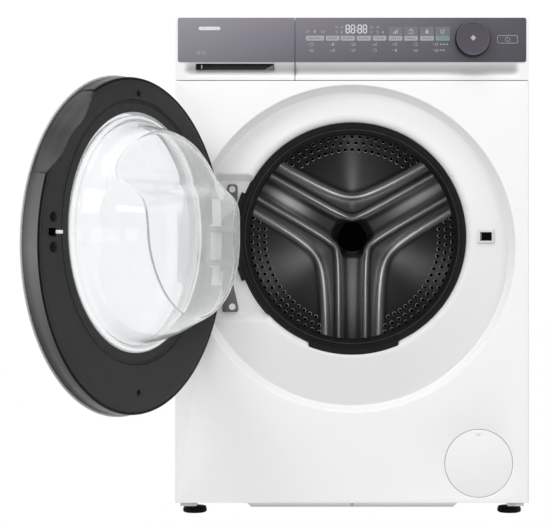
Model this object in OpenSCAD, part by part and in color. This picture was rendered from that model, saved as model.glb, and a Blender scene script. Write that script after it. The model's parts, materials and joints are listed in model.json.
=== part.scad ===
// Front load washing machine, built from its separate pieces.
// Frame: +Z up, +X to the user's right, the front face looks along -Y.
// The origin is on the floor, midway between the four feet.

/* [Cabinet] */
// Width over the side walls
cabinet_w = 598; // [590:1:605]
// Height of the worktop above the floor
cabinet_h = 845; // [845:1:850]
// Distance from the front face to the middle of the feet
front_d = 280; // [280:1:284]
// Distance from the middle of the feet to the back panel
back_d = 290; // [290:1:300]
// Thickness of the sheet steel
sheet_t = 1.5; // [1:0.1:1.8]
// Height of the cabinet's lower edge above the floor
base_z = 25; // [24:1:26]

/* [Door] */
// Height of the door and of its recess
door_z = 454.6; // [452:0.2:456]
// Radius of the recess at the front face
recess_r = 277; // [277:1:280]
// Depth of the recess
recess_d = 30; // [30:0.5:31]
// Radius of the door's outer trim
door_r = 268; // [265:0.5:268]
// Angle that the door stands open
door_open = 116.5; // [110:0.5:117]
// Sideways distance of the hinge axis from the middle
hinge_x = 244; // [244:0.5:245]
// How far the glass bowl reaches in from the door's inner face
bowl_d = 118; // [100:1:120]

/* [Porthole] */
// Height of the porthole's centre
porthole_z = 476; // [475:0.5:477]
// Radius of the porthole's edge, where the seal sits
porthole_r = 195; // [194:0.5:196]
// Radius of the seal's lip
lip_r = 177; // [177:0.5:178]

/* [Tub and drum] */
// Height of the drum's axis
drum_z = 485; // [483:0.5:486]
// Outer radius of the drum
drum_r = 246; // [240:1:248]
// Outer radius of the tub
tub_r = 266; // [265:1:268]
// Position of the drum's back wall along Y
drum_back_y = 200; // [195:1:200]
// Radius of the drum's pulley
pulley_r = 140; // [120:1:145]
// Radius of the motor's pulley
motor_pulley_r = 12; // [12:0.5:14]

/* [Controls] */
// Width of the drawer front
drawer_w = 202; // [200:0.5:203]
// Height of the console above the front panel's upper edge
console_h = 106; // [104:0.5:107]
// Radius of the programme dial
dial_r = 30; // [26:0.5:32]
// Sideways position of the dial
dial_x = 203.4; // [200:0.2:205]

/* [Feet] */
// Sideways distance between the feet
feet_dx = 544; // [530:1:546]
// Distance between the front and the rear feet
feet_dy = 400; // [380:1:410]
// Radius of a foot's pad
foot_r = 19.5; // [18:0.5:21]

/* [Hidden] */
$fn = 96;
half_w = cabinet_w / 2;
front_y = -front_d;
console_z = cabinet_h - console_h;      // lower edge of the console
panel_top = console_z - 0.8;            // upper edge of the front panel
shell_y = front_y + 18;                 // where the side walls start
floor_y = front_y + recess_d;           // floor of the door recess
pocket_y = floor_y + 17;                // floor of the hinge pocket
porthole_y = floor_y + 15;              // edge of the porthole
axis_y = front_y + 3;                   // door hinge axis
inner_t = 21;                           // door's inner face, from the hinge axis
trim_t = -8;                            // trim's widest edge, from the hinge axis
glass_dz = porthole_z - door_z;         // bowl centre above the door's centre
tub_top = cabinet_h - 22;               // underside of the worktop
hatch_x = 214;
hatch_z = 92;
hatch_r = 57;
hatch_axis = [hatch_x, front_y, hatch_z - 55];   // hinge of the filter hatch
hatch_lug = [9, 11.7];                  // span of a hinge lug from the hatch's middle
pump_x = 130;                           // drain pump's inlet pipe
pump_y = -150;
motor_x = -125;
motor_z = 152;
motor_r = 56;
pulley_y = 258;                         // front face of both pulleys
pulley_w = 16;
belt_t = 4;
run_gap = 0.05;                         // radial clearance of a running fit
clear = 0.3;                            // gap between curved faces of two bodies
spring_x = 252;
spring_y = 110;
damper_x = 150;
damper_y = 40;
pin_r = 4;
hinge_low = 403.5;                      // span of the hinge pin
hinge_high = 513.5;
knuckle_low = 422;                      // span of the bracket's own arm
knuckle_high = 495;
lock_z = 476;
hook_x = 226;                           // door hook from the door's middle

// ---------- helpers ----------

// a box given by its lowest and highest corners
module box(low, high) { translate(low) cube(high - low); }

// a cylinder along +Y from y0 to y1 at (x, z)
module ycyl(x, z, y0, y1, r) {
  translate([x, y0, z]) rotate([-90, 0, 0]) cylinder(r = r, h = y1 - y0);
}

// a ring along +Y
module yring(x, z, y0, y1, r_out, r_in) {
  difference() {
    ycyl(x, z, y0, y1, r_out);
    ycyl(x, z, y0 - 1, y1 + 1, r_in);
  }
}

// a cylinder along +Z
module zcyl(x, y, z0, z1, r) { translate([x, y, z0]) cylinder(r = r, h = z1 - z0); }

// turns an [r, y] outline around the Y axis at (0, z)
module yturn(z, angle = 360) {
  translate([0, 0, z]) rotate([-90, 0, 0]) rotate_extrude(angle = angle) children();
}

// an XZ outline, extruded along +Y from y0 to y1
module yplate(y0, y1) { translate([0, y1, 0]) rotate([90, 0, 0]) linear_extrude(y1 - y0) children(); }

// a rounded rectangle around (x, z) in the XZ plane
module rounded_rect(x, z, w, h, r) {
  translate([x, z]) union() {
    square([w - 2 * r, h], center = true);
    square([w, h - 2 * r], center = true);
    for (sx = [-1, 1], sz = [-1, 1])
      translate([sx * (w / 2 - r), sz * (h / 2 - r)]) circle(r);
  }
}

// places door parts, which are drawn closed, at the open rest position
module open_door() {
  translate([-hinge_x, axis_y, 0]) rotate([0, 0, -door_open]) translate([hinge_x, -axis_y, 0])
    children();
}

// ---------- cabinet ----------

module cabinet_shell() {
  color("white") difference() {
    box([-half_w, shell_y, base_z], [half_w, back_d, tub_top]);
    box([-half_w + sheet_t, shell_y - 1, base_z - 1], [half_w - sheet_t, back_d - sheet_t, tub_top + 1]);
    // opening behind the rear cover
    box([-205, back_d - 5, 185], [205, back_d + 5, 705]);
    // holes of the water inlet, the drain outlet, the mains gland and the transit bolts
    ycyl(-230, 775, back_d - 5, back_d + 5, 16);
    ycyl(230, 735, back_d - 5, back_d + 5, 13);
    ycyl(255, 785, back_d - 5, back_d + 5, 9);
    for (x = [-262, 262], z = [250, 640]) ycyl(x, z, back_d - 5, back_d + 5, 12);
  }
}

module recess_space(grow) {
  // sloped wall, flat floor
  yturn(door_z) polygon([[0, front_y - 1], [recess_r + 0.4 + grow, front_y - 1],
    [recess_r - 12 + grow, floor_y + grow], [0, floor_y + grow]]);
}

module pocket_space(grow) {
  // the hinge pocket, with sloped upper and lower walls
  intersection() {
    ycyl(0, door_z, floor_y - 2, pocket_y + grow, recess_r - 13 + grow);
    translate([-290, 0, 0]) rotate([90, 0, 90]) linear_extrude(130)
      polygon([[floor_y - 2, 331 - grow], [pocket_y + grow, 345 - grow],
        [pocket_y + grow, 570 + grow], [floor_y - 2, 584 + grow]]);
  }
}

module notch_space(grow) {
  // room for the door's edge beside the hinge
  translate([0, 0, door_z - 128 - grow]) linear_extrude(256 + 2 * grow)
    polygon([[-264 - grow, front_y - 1], [-264 - grow, front_y + 4], [-256 - grow, floor_y + grow],
      [-200, floor_y + grow], [-200, front_y - 1]]);
}

module front_panel() {
  color("whitesmoke") difference() {
    union() {
      difference() {
        box([-half_w, front_y, base_z], [half_w, shell_y - 0.5, panel_top]);
        box([-half_w + sheet_t, front_y + sheet_t, base_z + sheet_t],
            [half_w - sheet_t, shell_y, panel_top - sheet_t]);
      }
      recess_space(sheet_t);
      notch_space(sheet_t);
      pocket_space(sheet_t);
      // turned-in edge of the porthole
      yring(0, porthole_z, floor_y, pocket_y + sheet_t, porthole_r + 14, porthole_r);
      // dish behind the filter hatch
      ycyl(hatch_x, hatch_z, front_y, front_y + 17, hatch_r + 4);
    }
    recess_space(0);
    notch_space(0);
    pocket_space(0);
    ycyl(0, porthole_z, front_y - 5, 0, porthole_r);
    // rounded mouth of the porthole
    yturn(porthole_z) polygon([[0, floor_y - 2], [porthole_r + 13, floor_y - 2],
      [porthole_r + 12, floor_y], [porthole_r + 5, floor_y + 4], [porthole_r + 1, floor_y + 10],
      [porthole_r, porthole_y], [0, porthole_y]]);
    // door lock slot
    box([217, floor_y - 5, lock_z - 9], [240, floor_y + 5, lock_z + 9]);
    // filter hatch: seat, dish and hole
    ycyl(hatch_x, hatch_z, front_y - 1, front_y + 15.5, hatch_r + 0.8);
    ycyl(hatch_x, hatch_z, front_y, front_y + 20, 40);
  }
  // hinge lugs of the filter hatch
  color("whitesmoke") for (s = [-1, 1]) difference() {
    union() {
      hatch_barrel(s, hatch_lug[0], hatch_lug[1], 2);
      box([min(s * hatch_lug[0], s * hatch_lug[1]) + hatch_x, front_y, hatch_axis[2] - 2],
          [max(s * hatch_lug[0], s * hatch_lug[1]) + hatch_x, front_y + 16, hatch_axis[2] - 0.6]);
    }
    hatch_barrel(s, hatch_lug[0] - 1, hatch_lug[1] + 1, 1 + run_gap);
  }
}

// a cylinder along the hatch's hinge axis, on side s, from x0 to x1
module hatch_barrel(s, x0, x1, r) {
  translate([hatch_x + min(s * x0, s * x1), hatch_axis[1], hatch_axis[2]]) rotate([0, 90, 0])
    cylinder(r = r, h = x1 - x0, $fn = 32);
}

module worktop() {
  color("white") difference() {
    box([-half_w, shell_y + 0.2, tub_top + 0.2], [half_w, back_d, cabinet_h]);
    box([-half_w + 4, shell_y - 1, tub_top - 1], [half_w - 4, back_d - 4, cabinet_h - 16]);
  }
}

module base_tray() {
  color("dimgray") difference() {
    union() {
      difference() {
        box([-half_w + 3, shell_y + 3, base_z + 2], [half_w - 3, back_d - 6, 50]);
        box([-half_w + 6, shell_y + 6, base_z + 5], [half_w - 6, back_d - 9, 51]);
      }
      // bosses that the feet screw into
      for (x = [-feet_dx / 2, feet_dx / 2], y = [-feet_dy / 2, feet_dy / 2])
        zcyl(x, y, base_z + 2, 50, 12);
    }
    for (x = [-feet_dx / 2, feet_dx / 2], y = [-feet_dy / 2, feet_dy / 2])
      zcyl(x, y, 0, 60, 5 + run_gap);
  }
}

module rear_cover() {
  color("silver") difference() {
    union() {
      box([-215, back_d + 0.1, 175], [215, back_d + 1.3, 715]);
      ycyl(0, drum_z, back_d + 0.1, back_d + 8, pulley_r + 40);
    }
    ycyl(0, drum_z, back_d - 1, back_d + 6.8, pulley_r + 38.8);
  }
}

module lower_apron() {
  color("white") difference() {
    box([-176.5, front_y + 2, 18.6], [176.5, front_y + 12, base_z - 0.2]);
    box([-174.5, front_y + 4, 18], [174.5, front_y + 13, base_z - 2]);
    ycyl(0, 21.6, front_y, front_y + 13, 1.6);
  }
}

// ---------- console ----------

module console_groove() {
  // shallow trough under the fascia
  translate([-half_w + 14, front_y - 8.6, console_z + 18]) rotate([0, 90, 0])
    cylinder(r = 15.6, h = cabinet_w - 28);
}

module console_housing() {
  seam_x = -half_w + drawer_w + 1.3;
  color("white") difference() {
    box([seam_x, front_y, console_z], [half_w, shell_y - 0.1, cabinet_h - 0.2]);
    difference() {
      box([seam_x + 2.5, front_y + 3, console_z + 2.5],
          [half_w - 2.5, shell_y + 3, cabinet_h - 2.7]);
      // the trough's own wall
      translate([seam_x, front_y - 8.6, console_z + 18]) rotate([0, 90, 0])
        cylinder(r = 18.4, h = half_w * 2);
    }
    console_groove();
    // seat and hole of the fascia
    box([seam_x - 1, front_y - 1, console_z + 31], [half_w - 5, front_y + 3.2, cabinet_h + 1]);
    box([seam_x + 8, front_y, console_z + 36], [half_w - 12, front_y + 6, cabinet_h - 8]);
  }
}

module fascia_panel() {
  seam_x = -half_w + drawer_w + 1.3;
  color([0.42, 0.41, 0.45]) difference() {
    box([seam_x, front_y - 1, console_z + 31.2], [half_w - 5.2, front_y + 2.2, cabinet_h]);
    ycyl(dial_x, 808, front_y - 5, front_y + 5, 12);
    yplate(front_y - 5, front_y + 5) rounded_rect(262.5, 808, 35.6, 14.6, 3.3);
  }
}

module control_board() {
  color("darkgreen") difference() {
    union() {
      box([-80, front_y + 9, 775], [285, front_y + 10.6, 838]);
      // display block, encoder and power supply blocks
      box([-20, front_y + 4, 814], [62, front_y + 9, 836]);
      ycyl(dial_x, 808, front_y + 4, front_y + 9, 8);
      box([-60, front_y + 10.6, 780], [10, front_y + 19, 815]);
      box([90, front_y + 10.6, 782], [150, front_y + 18, 825]);
    }
    ycyl(dial_x, 808, front_y + 2, front_y + 12, 3 + run_gap);
    ycyl(262.5, 808, front_y + 2, front_y + 12, 3);
  }
}

module dial_knob() {
  color("gray") {
    difference() {
      union() {
        ycyl(dial_x, 808, front_y - 21, front_y - 1.6, dial_r);
        ycyl(dial_x, 808, front_y - 22, front_y - 21, dial_r - 2.5);
      }
      ycyl(dial_x, 808, front_y - 23, front_y - 21.4, dial_r - 5);
      ycyl(dial_x, 808, front_y - 12, front_y, dial_r - 6);
    }
    ycyl(dial_x, 808, front_y - 13, front_y - 2, 10);
    ycyl(dial_x, 808, front_y - 3, front_y + 8.5, 3);
  }
}

module power_button() {
  color([0.42, 0.41, 0.45]) {
    yplate(front_y - 1.4, front_y + 2) rounded_rect(262.5, 808, 35, 14, 3);
    ycyl(262.5, 808, front_y + 1, front_y + 8, 2.5);
  }
}

// ---------- dispenser ----------

module drawer_fascia() {
  color([0.45, 0.44, 0.48])
    box([-half_w + 5.2, front_y - 1, console_z + 31.2],
        [-half_w + drawer_w, front_y + 2, cabinet_h]);
}

module drawer_front() {
  color("white") difference() {
    box([-half_w + 0.5, front_y, console_z + 0.3],
        [-half_w + drawer_w, shell_y - 0.1, cabinet_h - 0.2]);
    difference() {
      box([-half_w + 3, front_y + 3, console_z + 2.8],
          [-half_w + drawer_w - 2.5, shell_y + 3, cabinet_h - 2.7]);
      translate([-half_w, front_y - 8.6, console_z + 18]) rotate([0, 90, 0])
        cylinder(r = 18.4, h = drawer_w);
      box([-268, front_y, console_z + 12], [-128, shell_y + 5, console_z + 34]);
    }
    console_groove();
    // finger grip slot
    box([-263.6, front_y - 1, console_z + 18], [-132.5, front_y + 15, console_z + 29]);
    // seat of the fascia
    box([-half_w + 5, front_y - 1, console_z + 31], [0, front_y + 2.2, cabinet_h + 1]);
  }
}

module drawer_tray() {
  low_z = console_z + 8;
  high_z = low_z + 58;
  color("aliceblue") difference() {
    box([-284, shell_y + 1.2, low_z], [-116, -10, high_z]);
    box([-282, shell_y + 12, low_z + 2], [-230, -12, high_z + 1]);
    box([-228, shell_y + 12, low_z + 2], [-172, -12, high_z + 1]);
    box([-170, shell_y + 12, low_z + 2], [-118, -12, high_z + 1]);
    // water leaves through a gap at the back
    for (x = [-256, -144]) box([x - 12, -20, low_z + 2.5], [x + 12, 0, low_z + 14]);
  }
}

module dispenser_housing() {
  low_z = console_z + 3;
  high_z = tub_top - 4;
  color("lightgray") difference() {
    union() {
      box([-290, shell_y + 4, low_z], [-110, 60, high_z]);
      zcyl(-200, 36, low_z - 14, low_z + 2, 16);
    }
    box([-287.5, shell_y, low_z + 2.5], [-112.5, 57.5, high_z - 2.5]);
    zcyl(-200, 36, low_z - 20, low_z + 5, 13);
    // nozzles of the inlet valve
    for (x = [-234, -214]) ycyl(x, 775, 50, 70, 5);
  }
}

module fill_hose() {
  top = console_z - 11.5;
  bottom = 690;
  color("dimgray") translate([-200, 36, 0]) difference() {
    union() {
      zcyl(0, 0, bottom, top, 15);
      for (i = [0:4]) zcyl(0, 0, bottom + 4 + i * 7, bottom + 7 + i * 7, 18);
    }
    zcyl(0, 0, bottom - 1, top + 1, 12.5);
  }
}

module inlet_valve() {
  color("ghostwhite") {
    difference() {
      union() {
        ycyl(-230, 775, back_d - 30, back_d + 14, 13.2);
        ycyl(-230, 775, back_d - 24, back_d - sheet_t, 18);
        box([-252, 214, 758], [-208, back_d - 29, 792]);
      }
      ycyl(-230, 775, back_d - 20, back_d + 15, 8);
    }
    for (x = [-234, -214]) difference() {
      ycyl(x, 775, 60.2, 215, 4.8);
      ycyl(x, 775, 60, 205, 3.2);
    }
    for (x = [-240, -219]) zcyl(x, 235, 790, 812, 9);
  }
}

// ---------- door lock and hinge ----------

module door_lock() {
  color("gray") difference() {
    union() {
      box([214, floor_y - 2.2, lock_z - 11], [242, floor_y, lock_z + 11]);
      box([217.2, floor_y, lock_z - 8.8], [239.8, floor_y + 2, lock_z + 8.8]);
      box([213, floor_y + sheet_t + 0.2, 440], [256, floor_y + 17, 512]);
    }
    box([218.6, floor_y - 5, lock_z - 7], [238, floor_y + 14, lock_z + 7]);
  }
}

module hinge_arm_outline() {
  // from the knuckle to the foot of the arm on the pocket's floor
  circle(9);
  polygon([[-5.8, 6.9], [6.4, -6.4], [34, 21], [56, 40.8], [22, 40.8]]);
}

module hinge_bracket() {
  plate_y = pocket_y - 3.2;
  color("dimgray") difference() {
    union() {
      box([-226, plate_y, 347], [-190, pocket_y - 0.2, 566]);
      translate([-hinge_x, axis_y, knuckle_low]) linear_extrude(knuckle_high - knuckle_low)
        hinge_arm_outline();
    }
    // the arm is open in the middle
    box([-260, axis_y - 20, 436], [-214, axis_y + 32, 481]);
    zcyl(-hinge_x, axis_y, knuckle_low - 5, knuckle_high + 5, pin_r);
    for (z = [356, 557]) ycyl(-205, z, plate_y - 5, pocket_y + 5, 3);
    // hollow edge beside the seal
    ycyl(0, porthole_z, plate_y - 10, pocket_y + 5, porthole_r + 4);
  }
}

module hinge_pin() {
  color("silver") {
    zcyl(-hinge_x, axis_y, hinge_low - 1, hinge_high + 1, pin_r);
    zcyl(-hinge_x, axis_y, hinge_high + 0.5, hinge_high + 3, 6);
  }
}

module hinge_leaves() {
  color("silver") open_door() for (z = [hinge_low, knuckle_high + 0.5]) difference() {
    translate([-hinge_x, axis_y, z]) linear_extrude(18 - 0.5) union() {
      circle(9);
      translate([0, -5]) square([44, 10]);
    }
    zcyl(-hinge_x, axis_y, z - 5, z + 30, pin_r + run_gap);
  }
}

// ---------- door ----------

module door_frame() {
  face = axis_y + inner_t;
  back = axis_y + trim_t + 1.5;
  bowl_hole = 187;
  color([0.2, 0.2, 0.21]) open_door() difference() {
    union() {
      difference() {
        yturn(door_z) polygon([[0, back], [264.5, back], [264, face - 6], [263, face - 2],
          [260, face], [0, face]]);
        yturn(door_z) polygon([[0, back - 1], [261, back - 1], [260.5, face - 6], [257, face - 3],
          [0, face - 3]]);
      }
      // collar around the bowl
      yring(0, porthole_z, back, face, bowl_hole + 5, bowl_hole);
      // solid block behind the finger scoop
      intersection() {
        yring(0, door_z, back, face, 264, 236);
        box([95, back, door_z + 90], [265, face, door_z + 262]);
      }
      // block that the hinge leaves are screwed into
      box([-hinge_x - 12, back, 388], [-hinge_x + 50, face - 1, 529]);
      // block around the hook
      box([hook_x - 16, back, lock_z - 18], [hook_x + 14, face - 1, lock_z + 18]);
    }
    ycyl(0, porthole_z, back - 5, face + 5, bowl_hole);
    // finger scoop along the upper free edge
    intersection() {
      yturn(door_z) polygon([[250, face + 1], [252, face - 4], [256, face - 11], [258, back + 5],
        [280, back + 5], [280, face + 1]]);
      box([113, back - 5, door_z + 110], [250, face + 5, door_z + 250]);
    }
    // room for the hinge bracket's arm at every angle
    translate([-hinge_x, axis_y, knuckle_low - 1.5]) linear_extrude(knuckle_high - knuckle_low + 3)
      polygon([[-45, -4.5], [-9, -8.6], [-4, -12], [8, -11], [14, -6], [25, 6], [42, 24], [42, 30],
        [-45, 30]]);
    // slots of the hinge leaves
    for (z = [hinge_low - 0.5, knuckle_high]) {
      box([-hinge_x - 30, axis_y - 30, z - 0.5], [-hinge_x, axis_y + 30, z + 19]);
      box([-hinge_x - 1, axis_y - 5, z + 0.5], [-hinge_x + 44, axis_y + 5, z + 18]);
      zcyl(-hinge_x, axis_y, z - 0.5, z + 19, 10);
    }
    zcyl(-hinge_x, axis_y, hinge_high + 0.2, hinge_high + 5, 8);
    zcyl(-hinge_x, axis_y, hinge_low - 3, hinge_low + 1, 6);
    // holes of the hook's pivot pin
    zcyl(hook_x, axis_y + 8, lock_z - 9.2, lock_z + 9.2, 1.5 + run_gap);
    // window of the hook
    box([hook_x - 8, axis_y + 1, lock_z - 6], [hook_x + 8, face + 5, lock_z + 6]);
  }
}

module door_hook() {
  pivot_y = axis_y + 8;
  color("whitesmoke") open_door() difference() {
    union() {
      zcyl(hook_x, pivot_y, lock_z - 4, lock_z + 4, 4);
      box([hook_x - 3.5, pivot_y, lock_z - 4], [hook_x + 1.5, axis_y + 36, lock_z + 4]);
      box([hook_x + 1, axis_y + 30, lock_z - 4], [hook_x + 5, axis_y + 36, lock_z + 4]);
    }
    zcyl(hook_x, pivot_y, lock_z - 6, lock_z + 6, 1.5 + run_gap);
  }
}

module door_buffers() {
  face = axis_y + inner_t;
  color("black") open_door() {
    for (z = [lock_z - 22, lock_z + 22]) ycyl(hook_x, z, face + 0.02, face + 3, 5);
    // pivot pin of the hook
    zcyl(hook_x, axis_y + 8, lock_z - 9, lock_z + 9, 1.5);
    // screw heads at the top and the bottom of the frame
    for (z = [door_z - 236, door_z + 236]) ycyl(0, z, face + 0.02, face + 1.4, 4);
  }
}

module door_trim() {
  edge = axis_y + trim_t;
  color("lightgray") open_door() difference() {
    yturn(door_z) polygon([[212, edge - 10], [232, edge - 9.5], [250, edge - 7.5],
      [262, edge - 3.5], [door_r, edge], [door_r - 1.5, edge + 1.2], [door_r - 4, edge + 1.2],
      [259.5, edge - 0.8], [249, edge - 4.5], [232, edge - 6.5], [216, edge - 6.8],
      [216, edge - 4], [212, edge - 4]]);
    // room for the hinge knuckles
    zcyl(-hinge_x, axis_y, hinge_low - 5, hinge_high + 6, 11);
  }
}

module door_window() {
  edge = axis_y + trim_t;
  color([0.25, 0.27, 0.3, 0.5]) open_door()
    yturn(door_z) polygon([[0, edge - 6], [120, edge - 7], [211.8, edge - 9.2],
      [211.8, edge - 6], [120, edge - 3.8], [0, edge - 2.8]]);
}

module door_glass() {
  face = axis_y + inner_t;
  wall = 5;
  tip = face + bowl_d;
  color([0.85, 0.9, 0.92, 0.35]) open_door() difference() {
    yturn(porthole_z) polygon([[0, face - 6], [186, face - 6], [186, face + 1], [181, face + 3],
      [174, face + 20], [171, face + 40], [162, face + 66], [148, face + 86],
      [124, face + 103], [86, tip - 5], [40, tip], [0, tip]]);
    yturn(porthole_z) polygon([[0, face - 7], [176, face - 7], [170, face + 8],
      [166, face + 38], [157, face + 63], [143.5, face + 82.5],
      [121, face + 98.5], [84.5, tip - 10], [40, tip - wall], [0, tip - wall]]);
  }
}

// ---------- seal ----------

module door_seal() {
  color([0.1, 0.1, 0.1]) yturn(porthole_z) polygon([
    [porthole_r - 0.3, porthole_y - 6], [porthole_r - 0.3, pocket_y + sheet_t + 0.3],
    [porthole_r + 3, pocket_y + sheet_t + 0.3], [porthole_r + 3, pocket_y + 4],
    [porthole_r - 4, pocket_y + 5], [porthole_r - 1.5, porthole_y + 12],
    [porthole_r - 7, porthole_y + 18], [porthole_r - 1.5, porthole_y + 24],
    [porthole_r - 5, porthole_y + 30],
    [porthole_r - 12, porthole_y + 30], [porthole_r - 9, porthole_y + 25],
    [porthole_r - 15, porthole_y + 18], [lip_r + 4, porthole_y + 12], [lip_r, porthole_y + 9],
    [lip_r, porthole_y + 4], [lip_r + 8, porthole_y - 2], [porthole_r - 8, porthole_y - 6]]);
}

// ---------- tub ----------

module tub_front() {
  seam_y = 75;
  color("gainsboro") {
    yturn(drum_z) polygon([[204, -222], [208, -222], [208, -205], [tub_r, -200], [tub_r, seam_y - 6],
      [tub_r + 9, seam_y - 6], [tub_r + 9, seam_y], [tub_r - 4, seam_y], [tub_r - 4, -196],
      [204, -201]]);
    // spout to the drain pump
    difference() {
      zcyl(pump_x, pump_y, 216, 260, 17);
      zcyl(pump_x, pump_y, 210, 280, 14);
      ycyl(0, drum_z, -190, 60, tub_r - 1);
    }
    // inlet from the dispenser
    difference() {
      zcyl(-200, 36, 655, 689.5, 15);
      zcyl(-200, 36, 640, 700, 12);
      ycyl(0, drum_z, -190, 60, tub_r - 1);
    }
    // lugs of the dampers
    for (x = [-damper_x, damper_x])
      difference() {
        box([x - 9, damper_y - 9, 247], [x + 9, damper_y + 9, 290]);
        ycyl(0, drum_z, -190, 70, tub_r - 1);
      }
  }
}

module tub_rear() {
  seam_y = 75;
  wall_y = drum_back_y + 15;
  color("gainsboro") {
    difference() {
      union() {
        yturn(drum_z) polygon([[0, wall_y], [tub_r - 4, wall_y], [tub_r - 4, seam_y + 0.2],
          [tub_r + 9, seam_y + 0.2], [tub_r + 9, seam_y + 6], [tub_r, seam_y + 6],
          [tub_r, wall_y + 5], [0, wall_y + 5]]);
        ycyl(0, drum_z, wall_y, wall_y + 36, 42);
        for (a = [0:45:315]) translate([0, 0, drum_z]) rotate([0, a, 0])
          box([40, wall_y + 4, -3], [tub_r - 6, wall_y + 22, 3]);
        // heater sump under the drum
        box([-46, 90, 204], [46, 206, 232]);
      }
      ycyl(0, drum_z, wall_y - 5, wall_y + 40, 30 + run_gap);
      difference() {
        box([-42, 94, 208], [42, 202, 250]);
        ycyl(0, drum_z, 80, 210, 1);
      }
      for (x = [-18, 18]) ycyl(x, 220, 195, 225, 4.4);
    }
    // spring ears
    for (s = [-1, 1]) difference() {
      box([min(s * 236, s * 262), spring_y - 8, 588], [max(s * 236, s * 262), spring_y + 8, 600]);
      ycyl(0, drum_z, 80, 140, tub_r - 1);
    }
  }
}

module counterweight_front() {
  color("darkgray") yring(0, drum_z, -229, -206, 258, 214);
}

module counterweight_top() {
  color("darkgray") difference() {
    box([-60, -110, 738], [150, 60, 796]);
    ycyl(0, drum_z, -120, 70, tub_r + 0.4);
  }
}

module heater() {
  color("silver") {
    for (x = [-18, 18]) ycyl(x, 220, 120, 230, 4);
    translate([0, 120, 220]) rotate([0, 0, 180]) rotate_extrude(angle = 180)
      translate([18, 0]) circle(4);
    box([-30, drum_back_y + 20.1, 209], [30, drum_back_y + 23, 224.8]);
  }
}

module bearings() {
  color("silver") for (y = [drum_back_y + 17, drum_back_y + 37])
    yring(0, drum_z, y, y + 13, 30, 15 + run_gap);
}

module motor_housing() {
  color("dimgray") {
    difference() {
      ycyl(motor_x, motor_z, 72, 212, motor_r);
      ycyl(motor_x, motor_z, 78, 206, motor_r - 10);
      ycyl(motor_x, motor_z, 60, 220, 6 + run_gap);
    }
    // lugs that hang the motor from the tub
    for (y = [90, 186]) difference() {
      translate([motor_x, y, motor_z]) rotate([0, 20.6, 0])
        box([-12, 0, motor_r - 4], [12, 12, 96]);
      ycyl(0, drum_z, 60, 220, tub_r + 0.2);
    }
  }
}

// a close-coiled spring drawn as its stack of rings, with a hook rod at each end
module spring_coil(r, wire, low, high) {
  turns = floor((high - low) / (2 * wire));
  steps = 6;
  outer = [for (i = [0:turns - 1]) for (j = [0:steps])
    let (a = -90 + 180 * j / steps)
    [r + wire * 0.7 * (1 + cos(a)) - wire * 0.7, low + (2 * i + 1) * wire + wire * 0.999 * sin(a)]];
  rotate_extrude() polygon(concat(outer, [[r - wire, low + 2 * turns * wire], [r - wire, low]]));
  for (z = [low - 3, high - 3]) cylinder_rod(z, r - wire + 0.4);
}

module cylinder_rod(z, r) { translate([0, 0, z]) cylinder(r = r, h = 7); }

module suspension_springs() {
  color("silver") for (x = [-spring_x, spring_x]) translate([x, spring_y, 0])
    spring_coil(9, 2, 606, 782);
}

module damper_rods() {
  color("silver") for (x = [-damper_x, damper_x]) {
    zcyl(x, damper_y, 100, 246.8, 5);
    zcyl(x, damper_y, 238, 246.8, 8);
  }
}

module damper_cylinders() {
  color("dimgray") for (x = [-damper_x, damper_x]) difference() {
    union() {
      zcyl(x, damper_y, 50, 175, 14);
      box([x - 16, damper_y - 10, base_z + 5.2], [x + 16, damper_y + 10, 56]);
    }
    zcyl(x, damper_y, 80, 180, 5 + run_gap);
  }
}

module belt_outline(grow) {
  hull() {
    translate([0, drum_z]) circle(pulley_r + grow);
    translate([motor_x, motor_z]) circle(motor_pulley_r + grow);
  }
}

module drive_belt() {
  color([0.12, 0.12, 0.12]) yplate(pulley_y + 1, pulley_y + pulley_w - 1) difference() {
    belt_outline(clear + belt_t);
    belt_outline(clear);
  }
}

// ---------- drum ----------

module drum_shell() {
  color("silver") yturn(drum_z) polygon([[180, -184], [184, -186], [186, -183], [drum_r - 12, -176],
    [drum_r, -168], [drum_r, drum_back_y], [drum_r - 1.5, drum_back_y], [drum_r - 1.5, -167],
    [drum_r - 13, -174], [185, -180], [182, -180]]);
}

module drum_back() {
  color("silver") difference() {
    union() {
      ycyl(0, drum_z, drum_back_y - 2, drum_back_y, drum_r - 1.6);
      ycyl(0, drum_z, drum_back_y - 8, drum_back_y, 34);
    }
    ycyl(0, drum_z, drum_back_y - 4, drum_back_y + 1, 24);
  }
}

module drum_lifters() {
  color("gray") for (a = [30, 150, 270]) translate([0, 0, drum_z]) rotate([0, -a, 0])
    difference() {
      yplate(-150, drum_back_y - 12) polygon([[drum_r, -34], [drum_r - 16, -26],
        [drum_r - 39, -9], [drum_r - 42, 0], [drum_r - 39, 9], [drum_r - 16, 26], [drum_r, 34]]);
      yring(0, 0, -200, 220, 300, drum_r - 1.9);
    }
}

module drum_spider() {
  color("darkgray") difference() {
    union() {
      ycyl(0, drum_z, drum_back_y + 0.2, drum_back_y + 11, 40);
      for (a = [30, 150, 270]) translate([0, 0, drum_z]) rotate([0, -a, 0])
        box([30, drum_back_y + 0.2, -14], [drum_r - 8, drum_back_y + 9, 14]);
    }
    ycyl(0, drum_z, drum_back_y - 5, drum_back_y + 20, 15);
  }
}

module drum_shaft() {
  color("silver") {
    ycyl(0, drum_z, drum_back_y + 0.3, pulley_y - 0.2, 15);
    ycyl(0, drum_z, pulley_y - 1, pulley_y + pulley_w, 11);
    ycyl(0, drum_z, pulley_y + pulley_w, pulley_y + pulley_w + 7, 5);
    translate([0, pulley_y + pulley_w + 4, drum_z]) rotate([-90, 0, 0])
      cylinder(r = 10, h = 6, $fn = 6);
  }
}

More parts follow.
